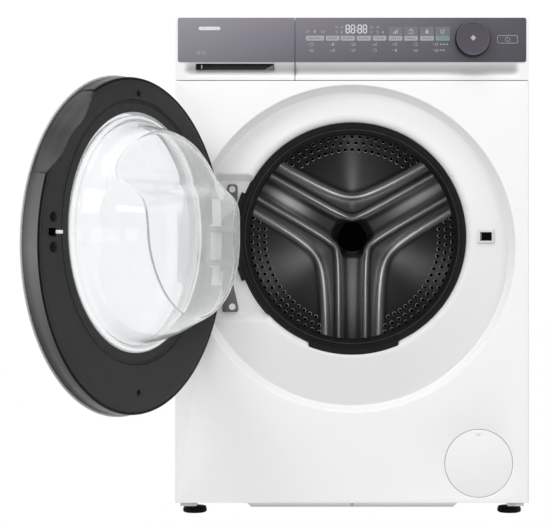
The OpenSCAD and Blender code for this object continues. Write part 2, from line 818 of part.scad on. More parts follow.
module drum_pulley() {
  color("silver") difference() {
    union() {
      yring(0, drum_z, pulley_y, pulley_y + pulley_w, pulley_r, pulley_r - 8);
      ycyl(0, drum_z, pulley_y, pulley_y + pulley_w, 24);
      for (a = [0:60:300]) translate([0, 0, drum_z]) rotate([0, a, 0])
        box([20, pulley_y + 4, -7], [pulley_r - 4, pulley_y + 12, 7]);
    }
    ycyl(0, drum_z, pulley_y - 5, pulley_y + 25, 11);
  }
}

module motor_rotor() {
  color("darkgray") {
    ycyl(motor_x, motor_z, 66, pulley_y + 2, 6);
    ycyl(motor_x, motor_z, 92, 192, motor_r - 14);
    ycyl(motor_x, motor_z, pulley_y, pulley_y + pulley_w, motor_pulley_r);
    ycyl(motor_x, motor_z, pulley_y + pulley_w, pulley_y + pulley_w + 2, motor_pulley_r + 3);
  }
}

// ---------- drain ----------

module drain_pump() {
  color("dimgray") {
    difference() {
      union() {
        ycyl(hatch_x, hatch_z, front_y + 24, -150, 37);
        ycyl(hatch_x, hatch_z, -150, -90, 27);
        box([hatch_x - 24, -240, base_z + 5.2], [hatch_x + 24, -160, 70]);
        translate([pump_x, pump_y - 15, 100]) rotate([0, 90, 0]) cylinder(r = 14, h = 70);
        zcyl(pump_x, pump_y, 100, 158, 17);
        ycyl(pump_x, 100, pump_y - 29, pump_y + 10, 14);
      }
      ycyl(hatch_x, hatch_z, front_y + 20, -170, 30 + clear);
      zcyl(pump_x, pump_y, 104, 160, 13);
    }
    // spout of the drain hose
    difference() {
      ycyl(hatch_x + 20, 130, -180, -140, 9);
      ycyl(hatch_x + 20, 130, -160, -139, 6);
    }
  }
}

module sump_hose() {
  bottom = 158.5;
  top = 215.5;
  color([0.15, 0.15, 0.15]) translate([pump_x, pump_y, 0]) difference() {
    union() {
      zcyl(0, 0, bottom, top, 17);
      for (i = [0:5]) zcyl(0, 0, bottom + 6 + i * 8, bottom + 10 + i * 8, 20);
    }
    zcyl(0, 0, bottom - 1, top + 1, 14);
  }
}

module filter_cap() {
  color("dimgray") {
    difference() {
      union() {
        ycyl(hatch_x, hatch_z, front_y + 20, front_y + 23.5, 34);
        ycyl(hatch_x, hatch_z, front_y + 23, front_y + 50, 30);
      }
      ycyl(hatch_x, hatch_z, front_y + 30, front_y + 51, 26);
    }
    // grip bar
    box([hatch_x - 26, front_y + 10, hatch_z - 4], [hatch_x + 26, front_y + 21, hatch_z + 4]);
  }
}

module filter_hatch() {
  color("whitesmoke") {
    difference() {
      ycyl(hatch_x, hatch_z, front_y, front_y + 2.5, hatch_r);
      // room for the hinge lugs
      for (s = [-1, 1]) hatch_barrel(s, hatch_lug[0] - 0.3, hatch_lug[1] + 0.3, 4);
      // finger notch at the top edge
      translate([hatch_x, front_y - 2.4, hatch_z + hatch_r - 4]) sphere(4);
    }
    hatch_barrel(1, -hatch_lug[1], hatch_lug[1], 1);
  }
}

module drain_outlet() {
  color("dimgray") difference() {
    union() {
      ycyl(230, 735, back_d - 20, back_d + 22, 10);
      ycyl(230, 735, back_d + 0.1, back_d + 3, 17);
    }
    ycyl(230, 735, back_d - 30, back_d + 30, 7.5);
  }
}

module mains_gland() {
  color("black") difference() {
    union() {
      ycyl(255, 785, back_d - 8, back_d + 0.1, 8.8);
      ycyl(255, 785, back_d + 0.1, back_d + 9, 12);
    }
    ycyl(255, 785, back_d - 10, back_d + 12, 4);
  }
}

module transit_caps() {
  color("lightgray") for (x = [-262, 262], z = [250, 640]) {
    ycyl(x, z, back_d + 0.1, back_d + 3, 15);
    ycyl(x, z, back_d - 6, back_d + 0.2, 11.6);
  }
}

module top_braces() {
  color("silver") {
    for (y = [spring_y - 12, 200])
      difference() {
        box([-half_w + 2, y, 795], [half_w - 2, y + 26, 819]);
        box([-half_w + 1, y + 1.5, 794], [half_w - 1, y + 24.5, 817.5]);
        // gap for the valve's coils and pipes
        box([-256, y - 1, 780], [-204, y + 30, 814]);
      }
    // spring seats
    for (x = [-spring_x, spring_x]) zcyl(x, spring_y, 786, 817.8, 6);
  }
}

module lock_nuts() {
  color("gray") for (x = [-feet_dx / 2, feet_dx / 2], y = [-feet_dy / 2, feet_dy / 2]) difference() {
    translate([x, y, 19]) cylinder(r = 9.5, h = 7.8, $fn = 6);
    zcyl(x, y, 15, 30, 5 + run_gap);
  }
}

module foot(x, y) {
  color([0.1, 0.1, 0.1]) translate([x, y, 0]) {
    cylinder(r = foot_r, h = 10);
    translate([0, 0, 10]) cylinder(r1 = foot_r, r2 = foot_r - 5, h = 2);
    cylinder(r = 5, h = 58);
    translate([0, 0, 11]) cylinder(r = 8, h = 6.5, $fn = 6);
  }
}

module foot_front_left() { foot(-feet_dx / 2, -feet_dy / 2); }
module foot_front_right() { foot(feet_dx / 2, -feet_dy / 2); }
module foot_rear_left() { foot(-feet_dx / 2, feet_dy / 2); }
module foot_rear_right() { foot(feet_dx / 2, feet_dy / 2); }

module panel_screws() {
  color("gray") {
    // rear cover
    for (x = [-210, 210], z = [180, 445, 710]) ycyl(x, z, back_d + 1.4, back_d + 3.4, 3.5);
    // worktop, from behind
    for (x = [-270, 270]) ycyl(x, 832, back_d + 0.1, back_d + 2.6, 5);
    // hinge bracket
    for (z = [356, 557]) ycyl(-205, z, pocket_y - 6.4, pocket_y - 3.4, 5.5);
    // lower apron
    ycyl(0, 21.6, front_y + 1, front_y + 3.9, 1.5);
  }
}

cabinet_shell();
front_panel();
worktop();
base_tray();
rear_cover();
lower_apron();
console_housing();
fascia_panel();
control_board();
door_lock();
hinge_bracket();
hinge_pin();
door_seal();
dispenser_housing();
fill_hose();
inlet_valve();
drain_pump();
sump_hose();
drain_outlet();
mains_gland();
transit_caps();
top_braces();
damper_cylinders();
lock_nuts();
panel_screws();
tub_front();
tub_rear();
counterweight_front();
counterweight_top();
heater();
bearings();
motor_housing();
suspension_springs();
damper_rods();
drive_belt();
drum_shell();
drum_back();
drum_lifters();
drum_spider();
drum_shaft();
drum_pulley();
motor_rotor();
door_frame();
door_trim();
door_window();
door_glass();
hinge_leaves();
door_buffers();
door_hook();
drawer_tray();
drawer_front();
drawer_fascia();
dial_knob();
power_button();
filter_hatch();
filter_cap();
foot_front_left();
foot_front_right();
foot_rear_left();
foot_rear_right();
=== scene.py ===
"""A front load washing machine, its door wide open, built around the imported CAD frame.

Lengths are in millimetres and turned to metres by MM. The front face looks along -Y.
"""

import json
import math

import bmesh
import bpy
import numpy as np
from mathutils import Matrix, Vector


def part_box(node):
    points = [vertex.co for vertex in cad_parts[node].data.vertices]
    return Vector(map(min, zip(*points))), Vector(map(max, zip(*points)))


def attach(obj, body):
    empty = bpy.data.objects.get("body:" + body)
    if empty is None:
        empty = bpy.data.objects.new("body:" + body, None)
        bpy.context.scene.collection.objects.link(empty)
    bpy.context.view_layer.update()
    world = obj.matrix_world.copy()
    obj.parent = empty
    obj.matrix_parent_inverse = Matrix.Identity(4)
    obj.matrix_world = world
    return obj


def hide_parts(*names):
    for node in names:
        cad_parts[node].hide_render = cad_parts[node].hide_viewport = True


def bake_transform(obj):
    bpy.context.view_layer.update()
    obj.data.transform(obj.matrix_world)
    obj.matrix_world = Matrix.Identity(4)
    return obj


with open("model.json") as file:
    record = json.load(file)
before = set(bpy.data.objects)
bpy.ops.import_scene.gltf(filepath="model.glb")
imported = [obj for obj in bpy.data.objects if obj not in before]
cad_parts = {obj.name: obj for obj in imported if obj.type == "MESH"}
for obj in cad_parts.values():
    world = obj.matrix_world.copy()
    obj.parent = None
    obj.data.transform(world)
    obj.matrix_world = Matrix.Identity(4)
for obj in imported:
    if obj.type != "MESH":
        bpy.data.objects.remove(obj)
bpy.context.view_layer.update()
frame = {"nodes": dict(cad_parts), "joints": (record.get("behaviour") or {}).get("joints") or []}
MM = 0.001


# ---------- sizes read from the frame ----------

def span(node):
    """A CAD node's lowest and highest corner, in millimetres."""
    low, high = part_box(node)
    return [v / MM for v in low], [v / MM for v in high]


def joint(name):
    return next(j for j in frame["joints"] if j["name"] == name)


panel_low, panel_high = span("front_panel")
top_low, top_high = span("worktop")
HALF_W = panel_high[0]
TOP = top_high[2]
SHELL_Y = span("cabinet_shell")[0][1]   # where the side walls start
BASE = panel_low[2]
PANEL_TOP = panel_high[2]
HINGE = [v / MM for v in joint("door_hinge")["pos_m"]]
FRONT = HINGE[1] - 3                    # the front face, just ahead of the hinge axis
DOOR_OPEN = joint("door_hinge")["range_deg"][1]
DRUM_Z = joint("drum_spin")["pos_m"][2] / MM
seal_low, seal_high = span("door_seal")
PORT_Z = (seal_low[2] + seal_high[2]) / 2
DRUM_BACK = span("drum_back")[1][1] - 2   # inner face of the drum's back wall
hatch_low, hatch_high = span("filter_hatch")
HATCH_X = (hatch_low[0] + hatch_high[0]) / 2
HATCH_R = (hatch_high[0] - hatch_low[0]) / 2
HATCH_Z = hatch_high[2] - HATCH_R
dial_low, dial_high = span("dial_knob")
DIAL_X = (dial_low[0] + dial_high[0]) / 2
DIAL_Z = (dial_low[2] + dial_high[2]) / 2
DIAL_R = (dial_high[0] - dial_low[0]) / 2
key_low, key_high = span("power_button")
lock_low, lock_high = span("door_lock")
DOOR_Z = (span("door_trim")[0][2] + span("door_trim")[1][2]) / 2
LOCK_Z = (lock_low[2] + lock_high[2]) / 2
SEAM_X = span("drawer_front")[1][0]     # right edge of the drawer front
CONSOLE_Z = span("console_housing")[0][2]
pin_low, pin_high = span("hinge_pin")
HINGE_MID = (pin_low[2] + pin_high[2]) / 2

# ---------- sizes that the looks add ----------

RECESS_R, RECESS_FLOOR_R, RECESS_D = 277.4, 265, 30
PORT_R, PORT_MOUTH, PORT_D = 195, 14, 45
POCKET_D = 47                           # hinge pocket below the front face
POCKET_Z = (331, 345, 570, 584)         # start and end of its lower and upper slopes
FASCIA_Z = 770                          # lower edge of the fascia
GROOVE_Z, GROOVE_H, GROOVE_D = 757, 13.5, 8     # trough under the fascia
SECTORS = (90, 210, 330)                # the drum back's dished sectors, in degrees
ARMS = (30, 150, 270)                   # its arms, and the lifters


# ---------- materials ----------

class Mat:
    """A Principled material with small helpers for its procedural nodes."""

    def __init__(self, name, color, roughness=0.4, metallic=0.0, coat=0.0, **sockets):
        self.mat = bpy.data.materials.new(name)
        self.mat.use_nodes = True
        self.tree = self.mat.node_tree
        self.shader = self.tree.nodes["Principled BSDF"]
        self.color = color
        self.set("Base Color", (*color, 1))
        self.set("Roughness", roughness)
        self.set("Metallic", metallic)
        self.set("Coat Weight", coat)
        for key, value in sockets.items():
            self.set(key.replace("_", " "), value)
        self.place = self.node("ShaderNodeTexCoord").outputs["Object"]

    def set(self, socket, value):
        self.shader.inputs[socket].default_value = value

    def node(self, kind, **values):
        made = self.tree.nodes.new(kind)
        for key, value in values.items():
            if key in made.inputs:
                made.inputs[key].default_value = value
            else:
                setattr(made, key, value)
        return made

    def link(self, out, into):
        self.tree.links.new(out, into)

    def tint(self, color):
        self.link(color, self.shader.inputs["Base Color"])

    def along(self, axis, low, high):
        """Rises from 0 to 1 between two places on an axis, in metres."""
        parts = self.node("ShaderNodeSeparateXYZ")
        self.link(self.place, parts.inputs["Vector"])
        made = self.node("ShaderNodeMapRange")
        made.inputs["From Min"].default_value = low
        made.inputs["From Max"].default_value = high
        self.link(parts.outputs[axis], made.inputs["Value"])
        return made.outputs["Result"]

    def noise(self, scale, detail=4.0, stretch=(1, 1, 1), roughness=0.55):
        """Noise over the object's place, stretched along an axis."""
        squeeze = self.node("ShaderNodeMapping")
        squeeze.inputs["Scale"].default_value = stretch
        self.link(self.place, squeeze.inputs["Vector"])
        made = self.node("ShaderNodeTexNoise", Scale=scale, Detail=detail)
        made.inputs["Roughness"].default_value = roughness
        self.link(squeeze.outputs["Vector"], made.inputs["Vector"])
        return made.outputs["Fac"]

    def ramp(self, value, stops):
        made = self.node("ShaderNodeValToRGB")
        band = made.color_ramp
        while len(band.elements) < len(stops):
            band.elements.new(0.5)
        for element, (at, color) in zip(band.elements, stops):
            element.position = at
            element.color = (*color, 1) if len(color) == 3 else color
        self.link(value, made.inputs["Fac"])
        return made.outputs["Color"]

    def vary_color(self, value, amount=0.04):
        """The base colour drifts a little lighter and darker."""
        dark = [c * (1 - amount) for c in self.color]
        light = [min(1, c * (1 + amount)) for c in self.color]
        self.tint(self.ramp(value, [(0.35, dark), (0.65, light)]))

    def vary_roughness(self, value, low, high):
        made = self.node("ShaderNodeMapRange")
        made.inputs["From Min"].default_value = 0.3
        made.inputs["From Max"].default_value = 0.7
        made.inputs["To Min"].default_value = low
        made.inputs["To Max"].default_value = high
        self.link(value, made.inputs["Value"])
        self.link(made.outputs["Result"], self.shader.inputs["Roughness"])

    def bump(self, value, height_mm, strength=0.5):
        made = self.node("ShaderNodeBump", Strength=strength, Distance=height_mm * MM)
        self.link(value, made.inputs["Height"])
        self.link(made.outputs["Normal"], self.shader.inputs["Normal"])


def coated_metal(name, color, roughness=0.32, peel=0.03):
    """Sprayed enamel: a faint orange peel and an almost even colour."""
    m = Mat(name, color, roughness, coat=0.25)
    m.set("Coat Roughness", 0.12)
    m.vary_color(m.noise(3), 0.003)
    m.bump(m.noise(900, 2), peel, 0.25)
    return m.mat


def shaded_recess_enamel(name):
    """The same enamel in the door recess, a little greyer towards its lower end: painted shade."""
    m = Mat(name, (0.8, 0.8, 0.8), 0.34, coat=0.2)
    m.set("Coat Roughness", 0.15)
    m.tint(m.ramp(m.along("Z", 0.18, 0.72), [(at, (grey,) * 3) for at, grey in
                                             ((0, 0.66), (0.5, 0.74), (1, 0.93))]))
    m.bump(m.noise(900, 2), 0.03, 0.25)
    return m.mat


def moulded_plastic(name, color, roughness=0.4, grain=0.05, scale=1800, vary=0.03, specular=0.45):
    """Injection moulded plastic with a fine eroded grain."""
    m = Mat(name, color, roughness)
    m.set("Specular IOR Level", specular)
    m.vary_color(m.noise(9), vary)
    m.vary_roughness(m.noise(60), roughness - 0.06, roughness + 0.08)
    m.bump(m.noise(scale, 3), grain, 0.4)
    return m.mat


def shaded_plastic(name, axis, low, high, stops):
    """Plastic whose grey follows its place along one axis, between two heights or depths, to paint light and
    shade into it.
    """
    m = Mat(name, (0.5, 0.5, 0.5), 0.36)
    m.set("Specular IOR Level", 0.4)
    m.tint(m.ramp(m.along(axis, low, high), [(at, (grey, grey, grey * 1.003)) for at, grey in stops]))
    m.vary_roughness(m.noise(60), 0.3, 0.44)
    m.bump(m.noise(1200, 3), 0.03, 0.4)
    return m.mat


def rubber(name, color=(0.012, 0.012, 0.013), roughness=0.55, specular=0.22):
    m = Mat(name, color, roughness)
    m.set("Specular IOR Level", specular)
    m.set("Sheen Weight", 0.04)
    m.set("Sheen Roughness", 0.4)
    m.vary_color(m.noise(25), 0.18)
    m.vary_roughness(m.noise(80), roughness - 0.12, roughness + 0.1)
    m.bump(m.noise(1200, 3), 0.08, 0.5)
    return m.mat


def brushed_metal(name, color, roughness=0.3, stretch=(1, 1, 1), vary=0.08, lines=400):
    """Metal with fine lines: the noise is long along the axis that isn't squeezed."""
    m = Mat(name, color, roughness, metallic=1.0)
    m.vary_color(m.noise(8), vary)
    m.vary_roughness(m.noise(lines, 3, stretch), roughness - 0.08, roughness + 0.1)
    m.bump(m.noise(lines, 3, stretch), 0.03, 0.35)
    return m.mat


def cast_metal(name, color, roughness=0.5):
    m = Mat(name, color, roughness, metallic=0.9)
    m.vary_color(m.noise(40, 6), 0.15)
    m.vary_roughness(m.noise(90), roughness - 0.1, roughness + 0.15)
    m.bump(m.noise(500, 6), 0.25, 0.6)
    return m.mat


def galvanised(name):
    """Zinc coated sheet with its pale spangle."""
    m = Mat(name, (0.52, 0.54, 0.56), 0.42, metallic=0.85)
    cells = m.node("ShaderNodeTexVoronoi", Scale=90.0)
    m.link(m.place, cells.inputs["Vector"])
    tone = m.node("ShaderNodeSeparateColor")
    m.link(cells.outputs["Color"], tone.inputs["Color"])
    m.tint(m.ramp(tone.outputs["Red"], [(0, (0.44, 0.46, 0.48)), (1, (0.6, 0.62, 0.64))]))
    m.vary_roughness(tone.outputs["Green"], 0.34, 0.55)
    m.bump(m.noise(300), 0.05, 0.3)
    return m.mat


def concrete(name):
    m = Mat(name, (0.33, 0.32, 0.3), 0.9)
    m.vary_color(m.noise(35, 8), 0.3)
    m.bump(m.noise(220, 8), 0.8, 0.8)
    return m.mat


def drum_steel(name):
    """Dark mirror-like stainless steel, turned around the drum's axis."""
    m = Mat(name, (0.3, 0.3, 0.303), 0.26, metallic=1.0)
    m.set("Anisotropic", 0.65)
    tangent = m.node("ShaderNodeTangent", direction_type="RADIAL", axis="Y")
    m.link(tangent.outputs["Tangent"], m.shader.inputs["Tangent"])
    m.vary_color(m.noise(6), 0.12)
    m.vary_roughness(m.noise(14, 5), 0.2, 0.34)
    return m.mat


def drum_wall_painted_light(name):
    """The same steel on the stamped wall, its colour painted from the mesh's sheen layer: painted highlights
    where its ribs catch the light, painted dark reflection between them.
    """
    m = Mat(name, (0.3, 0.3, 0.303), 0.3, metallic=1.0)
    sheen = m.node("ShaderNodeAttribute", attribute_name="sheen")
    spread = m.node("ShaderNodeMath", operation="MULTIPLY_ADD")
    m.link(m.noise(7, 4), spread.inputs[0])
    spread.inputs[1].default_value = 0.03
    m.link(sheen.outputs["Fac"], spread.inputs[2])
    m.tint(m.ramp(spread.outputs["Value"], [(0.015, (0.004, 0.004, 0.0042)), (1, (1, 1, 1))]))
    m.vary_roughness(m.noise(14, 5), 0.28, 0.4)
    return m.mat


def fascia_painted_reflection(name):
    """Purple-grey painted glass with a painted reflection that gets darker to the right and downwards."""
    m = Mat(name, (0.14, 0.135, 0.155), 0.3, coat=0.5)
    m.set("Coat Roughness", 0.15)
    across = m.along("X", -HALF_W * MM, HALF_W * MM)
    upper = m.ramp(across, [(0, (0.24, 0.23, 0.26)), (0.35, (0.175, 0.165, 0.198)),
                            (1, (0.062, 0.056, 0.074))])
    lower = m.ramp(across, [(0, (0.17, 0.163, 0.187)), (0.35, (0.1, 0.094, 0.118)),
                            (1, (0.044, 0.041, 0.053))])
    blend = m.node("ShaderNodeMix", data_type="RGBA")
    m.link(m.along("Z", FASCIA_Z * MM, TOP * MM), blend.inputs["Factor"])
    m.link(lower, blend.inputs[6])
    m.link(upper, blend.inputs[7])
    m.tint(blend.outputs[2])
    m.bump(m.noise(1500, 2), 0.01, 0.15)
    return m.mat


def clear_glass(name, tint, roughness=0.01, veil=(0.0, 0.0)):
    """Glass that lets lamps through, so that what lies behind it stays lit."""
    m = Mat(name, tint, roughness)
    m.set("Transmission Weight", 1.0)
    m.set("IOR", 1.38)
    m.bump(m.noise(14, 2), 0.03, 0.1)
    out = m.tree.nodes["Material Output"]
    path = m.node("ShaderNodeLightPath")
    through = m.node("ShaderNodeBsdfTransparent")
    through.inputs["Color"].default_value = (*[(c + 1) / 2 for c in tint], 1)
    pick = m.node("ShaderNodeMixShader")
    m.link(path.outputs["Is Shadow Ray"], pick.inputs["Fac"])
    haze = m.node("ShaderNodeMixShader")
    pale = m.node("ShaderNodeBsdfDiffuse")
    pale.inputs["Color"].default_value = (0.82, 0.83, 0.83, 1)
    rim = m.node("ShaderNodeLayerWeight", Blend=0.5)
    amount = m.node("ShaderNodeMapRange")
    amount.inputs["To Min"].default_value = veil[0]
    amount.inputs["To Max"].default_value = veil[1]
    m.link(rim.outputs["Facing"], amount.inputs["Value"])
    m.link(amount.outputs["Result"], haze.inputs["Fac"])
    m.link(m.shader.outputs["BSDF"], haze.inputs[1])
    m.link(pale.outputs["BSDF"], haze.inputs[2])
    m.link(haze.outputs["Shader"], pick.inputs[1])
    m.link(through.outputs["BSDF"], pick.inputs[2])
    m.link(pick.outputs["Shader"], out.inputs["Surface"])
    return m.mat


def circuit_green(name):
    m = Mat(name, (0.02, 0.14, 0.06), 0.45, coat=0.3)
    m.vary_color(m.noise(160, 2), 0.3)
    m.bump(m.noise(240, 1), 0.2, 0.4)
    return m.mat


def paint(name, color, roughness=0.5):
    """Printed ink: a thin even film with a slightly broken edge of gloss."""
    m = Mat(name, color, roughness)
    m.vary_color(m.noise(200, 2), 0.06)
    m.vary_roughness(m.noise(150), roughness - 0.08, roughness + 0.08)
    return m.mat


WHITE = coated_metal("white_enamel", (0.84, 0.84, 0.84), peel=0.015)
RECESS_SHADED_WHITE = shaded_recess_enamel("white_enamel_recess_painted_shade")
WHITE_PLASTIC = moulded_plastic("white_plastic", (0.82, 0.82, 0.825), 0.36, 0.02, 900, 0.01)
FASCIA = fascia_painted_reflection("fascia_grey")
DIAL_SIDE_SHADE = moulded_plastic("dial_side_painted_shade", (0.012, 0.011, 0.018), 0.5, 0.02, 1500, 0.05, 0.2)
DIAL_RIM_HIGHLIGHT = brushed_metal("dial_rim_painted_highlight", (0.2, 0.19, 0.23), 0.34, (1, 60, 1), 0.05)
DIAL_FACE = moulded_plastic("dial_face", (0.07, 0.064, 0.08), 0.42, 0.02, 1500, 0.05, 0.3)
SEAL = rubber("seal_rubber", (0.003, 0.003, 0.0034), 0.46)
SEAL_LIP_HIGHLIGHT = rubber("seal_lip_painted_highlight", (0.03, 0.03, 0.031), 0.35)
HOSE = rubber("hose_rubber", (0.03, 0.03, 0.032), 0.6)
DOOR_DARK = moulded_plastic("door_dark", (0.021, 0.021, 0.0212), 0.36, 0.04, 1600, 0.04, 0.16)
# painted highlight: a lighter copy of the door's dark plastic for the finger scoop, where light catches its
# slope
DOOR_SCOOP_HIGHLIGHT = moulded_plastic("door_dark_scoop_painted_highlight", (0.055, 0.055, 0.056), 0.36, 0.04, 1600, 0.3, 0.3)
# painted highlight: the side band's dark plastic lightens across its middle heights, where a lamp's
# reflection falls
DOOR_BAND_HIGHLIGHT = shaded_plastic("door_dark_band_painted_highlight", "Z", 0.18, 0.62,
                           [(0, 0.025), (0.3, 0.06), (0.6, 0.15), (0.8, 0.1), (1, 0.03)])
COLLAR = moulded_plastic("bowl_collar", (0.46, 0.465, 0.465), 0.3, 0.02, 900, 0.03)
# painted shade: the console's white plastic turns greyer the deeper it lies in the trough under the fascia
CONSOLE_WHITE_SHADED = shaded_plastic("console_white_trough_shade", "Y", FRONT * MM, (FRONT + 8) * MM,
                               [(0, 0.8), (0.25, 0.68), (0.6, 0.54), (1, 0.45)])
# painted shade: the apron strip turns greyer towards its lower edge, which faces down
APRON_WHITE_SHADED = shaded_plastic("apron_white_painted_shade", "Z", 0.0165, 0.0255, [(0, 0.3), (0.4, 0.48), (1, 0.8)])
SLOT_DARK = moulded_plastic("slot_dark", (0.022, 0.022, 0.0225), 0.4, 0.05, 900, 0.06, 0.3)
DOOR_SILVER = moulded_plastic("door_silver", (0.5, 0.5, 0.52), 0.25, 0.01, 900, 0.03)
WINDOW = clear_glass("window_clear", (0.93, 0.95, 0.96))
WINDOW_EDGE = clear_glass("window_border", (0.93, 0.95, 0.97), 0.03)
BOWL = clear_glass("bowl_glass", (0.965, 0.972, 0.972), 0.02, (0.05, 0.18))
DRUM = drum_steel("drum_steel")
DRUM_WALL_PAINTED = drum_wall_painted_light("drum_wall_painted_light")
HOLE_RIM_HIGHLIGHT = brushed_metal("hole_rim_painted_highlight", (0.5, 0.5, 0.5), 0.22)
HOLE_SHADOW = rubber("hole_shadow", (0.002, 0.002, 0.002), 0.7, 0.03)
STEEL = brushed_metal("bright_steel", (0.6, 0.6, 0.61), 0.28, (1, 1, 8))
ZINC = galvanised("galvanised")
CAST = cast_metal("cast_aluminium", (0.5, 0.5, 0.5))
TUB = moulded_plastic("tub_plastic", (0.55, 0.55, 0.53), 0.5, 0.1, 500, 0.06)
CONCRETE = concrete("concrete")
GREY = moulded_plastic("grey_plastic", (0.16, 0.16, 0.165), 0.42, 0.05, 900, 0.06)
LIGHT_GREY = moulded_plastic("light_grey_plastic", (0.62, 0.62, 0.63), 0.4, 0.03, 900, 0.04)
HINGE_METAL = coated_metal("hinge_metal", (0.1, 0.1, 0.105), 0.42, 0.06)
BLACK = rubber("black_rubber", (0.004, 0.004, 0.0045), 0.5, 0.08)
MOTOR = coated_metal("motor_metal", (0.13, 0.13, 0.14), 0.45, 0.08)
BOARD = circuit_green("circuit_board")
INK = paint("light_ink", (0.6, 0.6, 0.64))
INK_DIM = paint("dim_ink", (0.4, 0.39, 0.42))
INK_DARK = paint("dark_ink", (0.15, 0.145, 0.165))
INK_SOFT = paint("soft_ink", (0.33, 0.32, 0.35))
INK_GREEN = paint("green_ink", (0.17, 0.27, 0.25))
INK_FIELD = paint("field_ink", (0.15, 0.145, 0.17))


# ---------- mesh helpers ----------

def shade(mesh, sharp):
    """Smooth shading, with creases where faces meet at more than sharp degrees."""
    mesh.polygons.foreach_set("use_smooth", [True] * len(mesh.polygons))
    mesh.set_sharp_from_angle(angle=math.radians(sharp))


def apply_modifier(piece, kind, **settings):
    made = piece.modifiers.new(kind.lower(), kind)
    for key, value in settings.items():
        setattr(made, key, value)
    bpy.context.view_layer.objects.active = piece
    with bpy.context.temp_override(object=piece, active_object=piece, selected_objects=[piece]):
        bpy.ops.object.modifier_apply(modifier=made.name)
    return piece


def soften(piece, width=1.0, segments=3, angle=40):
    """Rounds a piece's sharp edges, in millimetres."""
    apply_modifier(piece, "BEVEL", width=width * MM, segments=segments, limit_method="ANGLE",
                   angle_limit=math.radians(angle), harden_normals=False)
    shade(piece.data, 35)
    return piece


def solidify(piece, thickness, offset=-1):
    return apply_modifier(piece, "SOLIDIFY", thickness=thickness * MM, offset=offset)


def ring_faces(rows, n):
    """Quads between closed rows of n points."""
    return [(k * n + i, k * n + (i + 1) % n, (k + 1) * n + (i + 1) % n, (k + 1) * n + i)
            for k in range(rows - 1) for i in range(n)]


def grid_faces(rows, n):
    """Quads between open rows of n points."""
    return [(k * n + i, k * n + i + 1, (k + 1) * n + i + 1, (k + 1) * n + i)
            for k in range(rows - 1) for i in range(n - 1)]


def end_faces(n):
    return [tuple(range(n - 1, -1, -1)), tuple(range(n, 2 * n))]


def centre(points, face):
    return [sum(points[i][k] for i in face) / len(face) for k in range(3)]


class Shape:
    """Collects points and faces of one mesh, with an optional material number for each face."""

    def __init__(self):
        self.points, self.faces, self.kinds = [], [], []

    def add(self, points, faces, kind=0):
        start = len(self.points)
        self.points += [tuple(p) for p in points]
        self.faces += [[i + start for i in f] for f in faces]
        self.kinds += [kind] * len(faces)

    def box(self, low, high, kind=0):
        (x0, y0, z0), (x1, y1, z1) = low, high
        pts = [(x, y, z) for x in (x0, x1) for y in (y0, y1) for z in (z0, z1)]
        sides = [(0, 1, 3, 2), (4, 6, 7, 5), (0, 4, 5, 1), (2, 3, 7, 6), (0, 2, 6, 4), (1, 5, 7, 3)]
        self.add(pts, sides, kind)

    def walls(self, outline, y0, y1, kind=0, more=()):
        """The side faces between an XZ outline at y0 and the same one at y1."""
        pts = [(x, y, z) for y in (y0, y1) for x, z in outline]
        self.add(pts, ring_faces(2, len(outline)) + list(more), kind)

    def prism(self, outline, y0, y1, kind=0):
        """An XZ outline drawn out from y0 to y1."""
        self.walls(outline, y0, y1, kind, end_faces(len(outline)))

    def pocket(self, x0, x1, z0, z1, y0, y1):
        """A box that is open at y0."""
        self.walls(((x0, z0), (x1, z0), (x1, z1), (x0, z1)), y0, y1, 0, [(4, 5, 6, 7)])

    def turn(self, profile, x, z, segments=96, kind=0):
        """Turns (radius, y) points around an axis along Y at (x, z)."""
        pts = []
        for i in range(segments):
            a = 2 * math.pi * i / segments
            pts += [(x + r * math.cos(a), y, z + r * math.sin(a)) for r, y in profile]
        self.add(pts, self.turned_faces(len(profile), segments), kind)

    @staticmethod
    def turned_faces(n, segments):
        return [(i * n + j, i * n + j + 1, ((i + 1) % segments) * n + j + 1, ((i + 1) % segments) * n + j)
                for i in range(segments) for j in range(n - 1)]

    def turn_z(self, profile, x, y, segments=48, kind=0):
        """Turns (radius, z) points around an axis along Z at (x, y)."""
        pts = [(x + r * math.cos(a), y + r * math.sin(a), z)
               for a in np.linspace(0, 2 * math.pi, segments, endpoint=False) for r, z in profile]
        self.add(pts, self.turned_faces(len(profile), segments), kind)

    def piece(self, name, mats, body, slot, replaces=(), sharp=35):
        """The finished mesh, in metres, riding on a CAD body."""
        mesh = bpy.data.meshes.new(name)
        mesh.from_pydata([Vector(p) * MM for p in self.points], [], self.faces)
        mesh.update()
        made = bpy.data.objects.new(name, mesh)
        bpy.context.scene.collection.objects.link(made)
        for m in (mats if isinstance(mats, list) else [mats]):
            mesh.materials.append(m)
        mesh.polygons.foreach_set("material_index", self.kinds)
        bm = bmesh.new()
        bm.from_mesh(mesh)
        bmesh.ops.remove_doubles(bm, verts=bm.verts, dist=0.00001)
        bmesh.ops.recalc_face_normals(bm, faces=bm.faces)
        bm.to_mesh(mesh)
        bm.free()
        shade(mesh, sharp)
        if body:
            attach(made, body)
        if replaces:
            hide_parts(*replaces)
        return made


def arc(cx, cz, r, a0, a1, steps=8):
    return [(cx + r * math.cos(math.radians(a0 + (a1 - a0) * i / steps)),
             cz + r * math.sin(math.radians(a0 + (a1 - a0) * i / steps))) for i in range(steps + 1)]


def circle(x, z, r, steps):
    return [(x + r * math.cos(a), z + r * math.sin(a))
            for a in np.linspace(0, 2 * math.pi, steps, endpoint=False)]


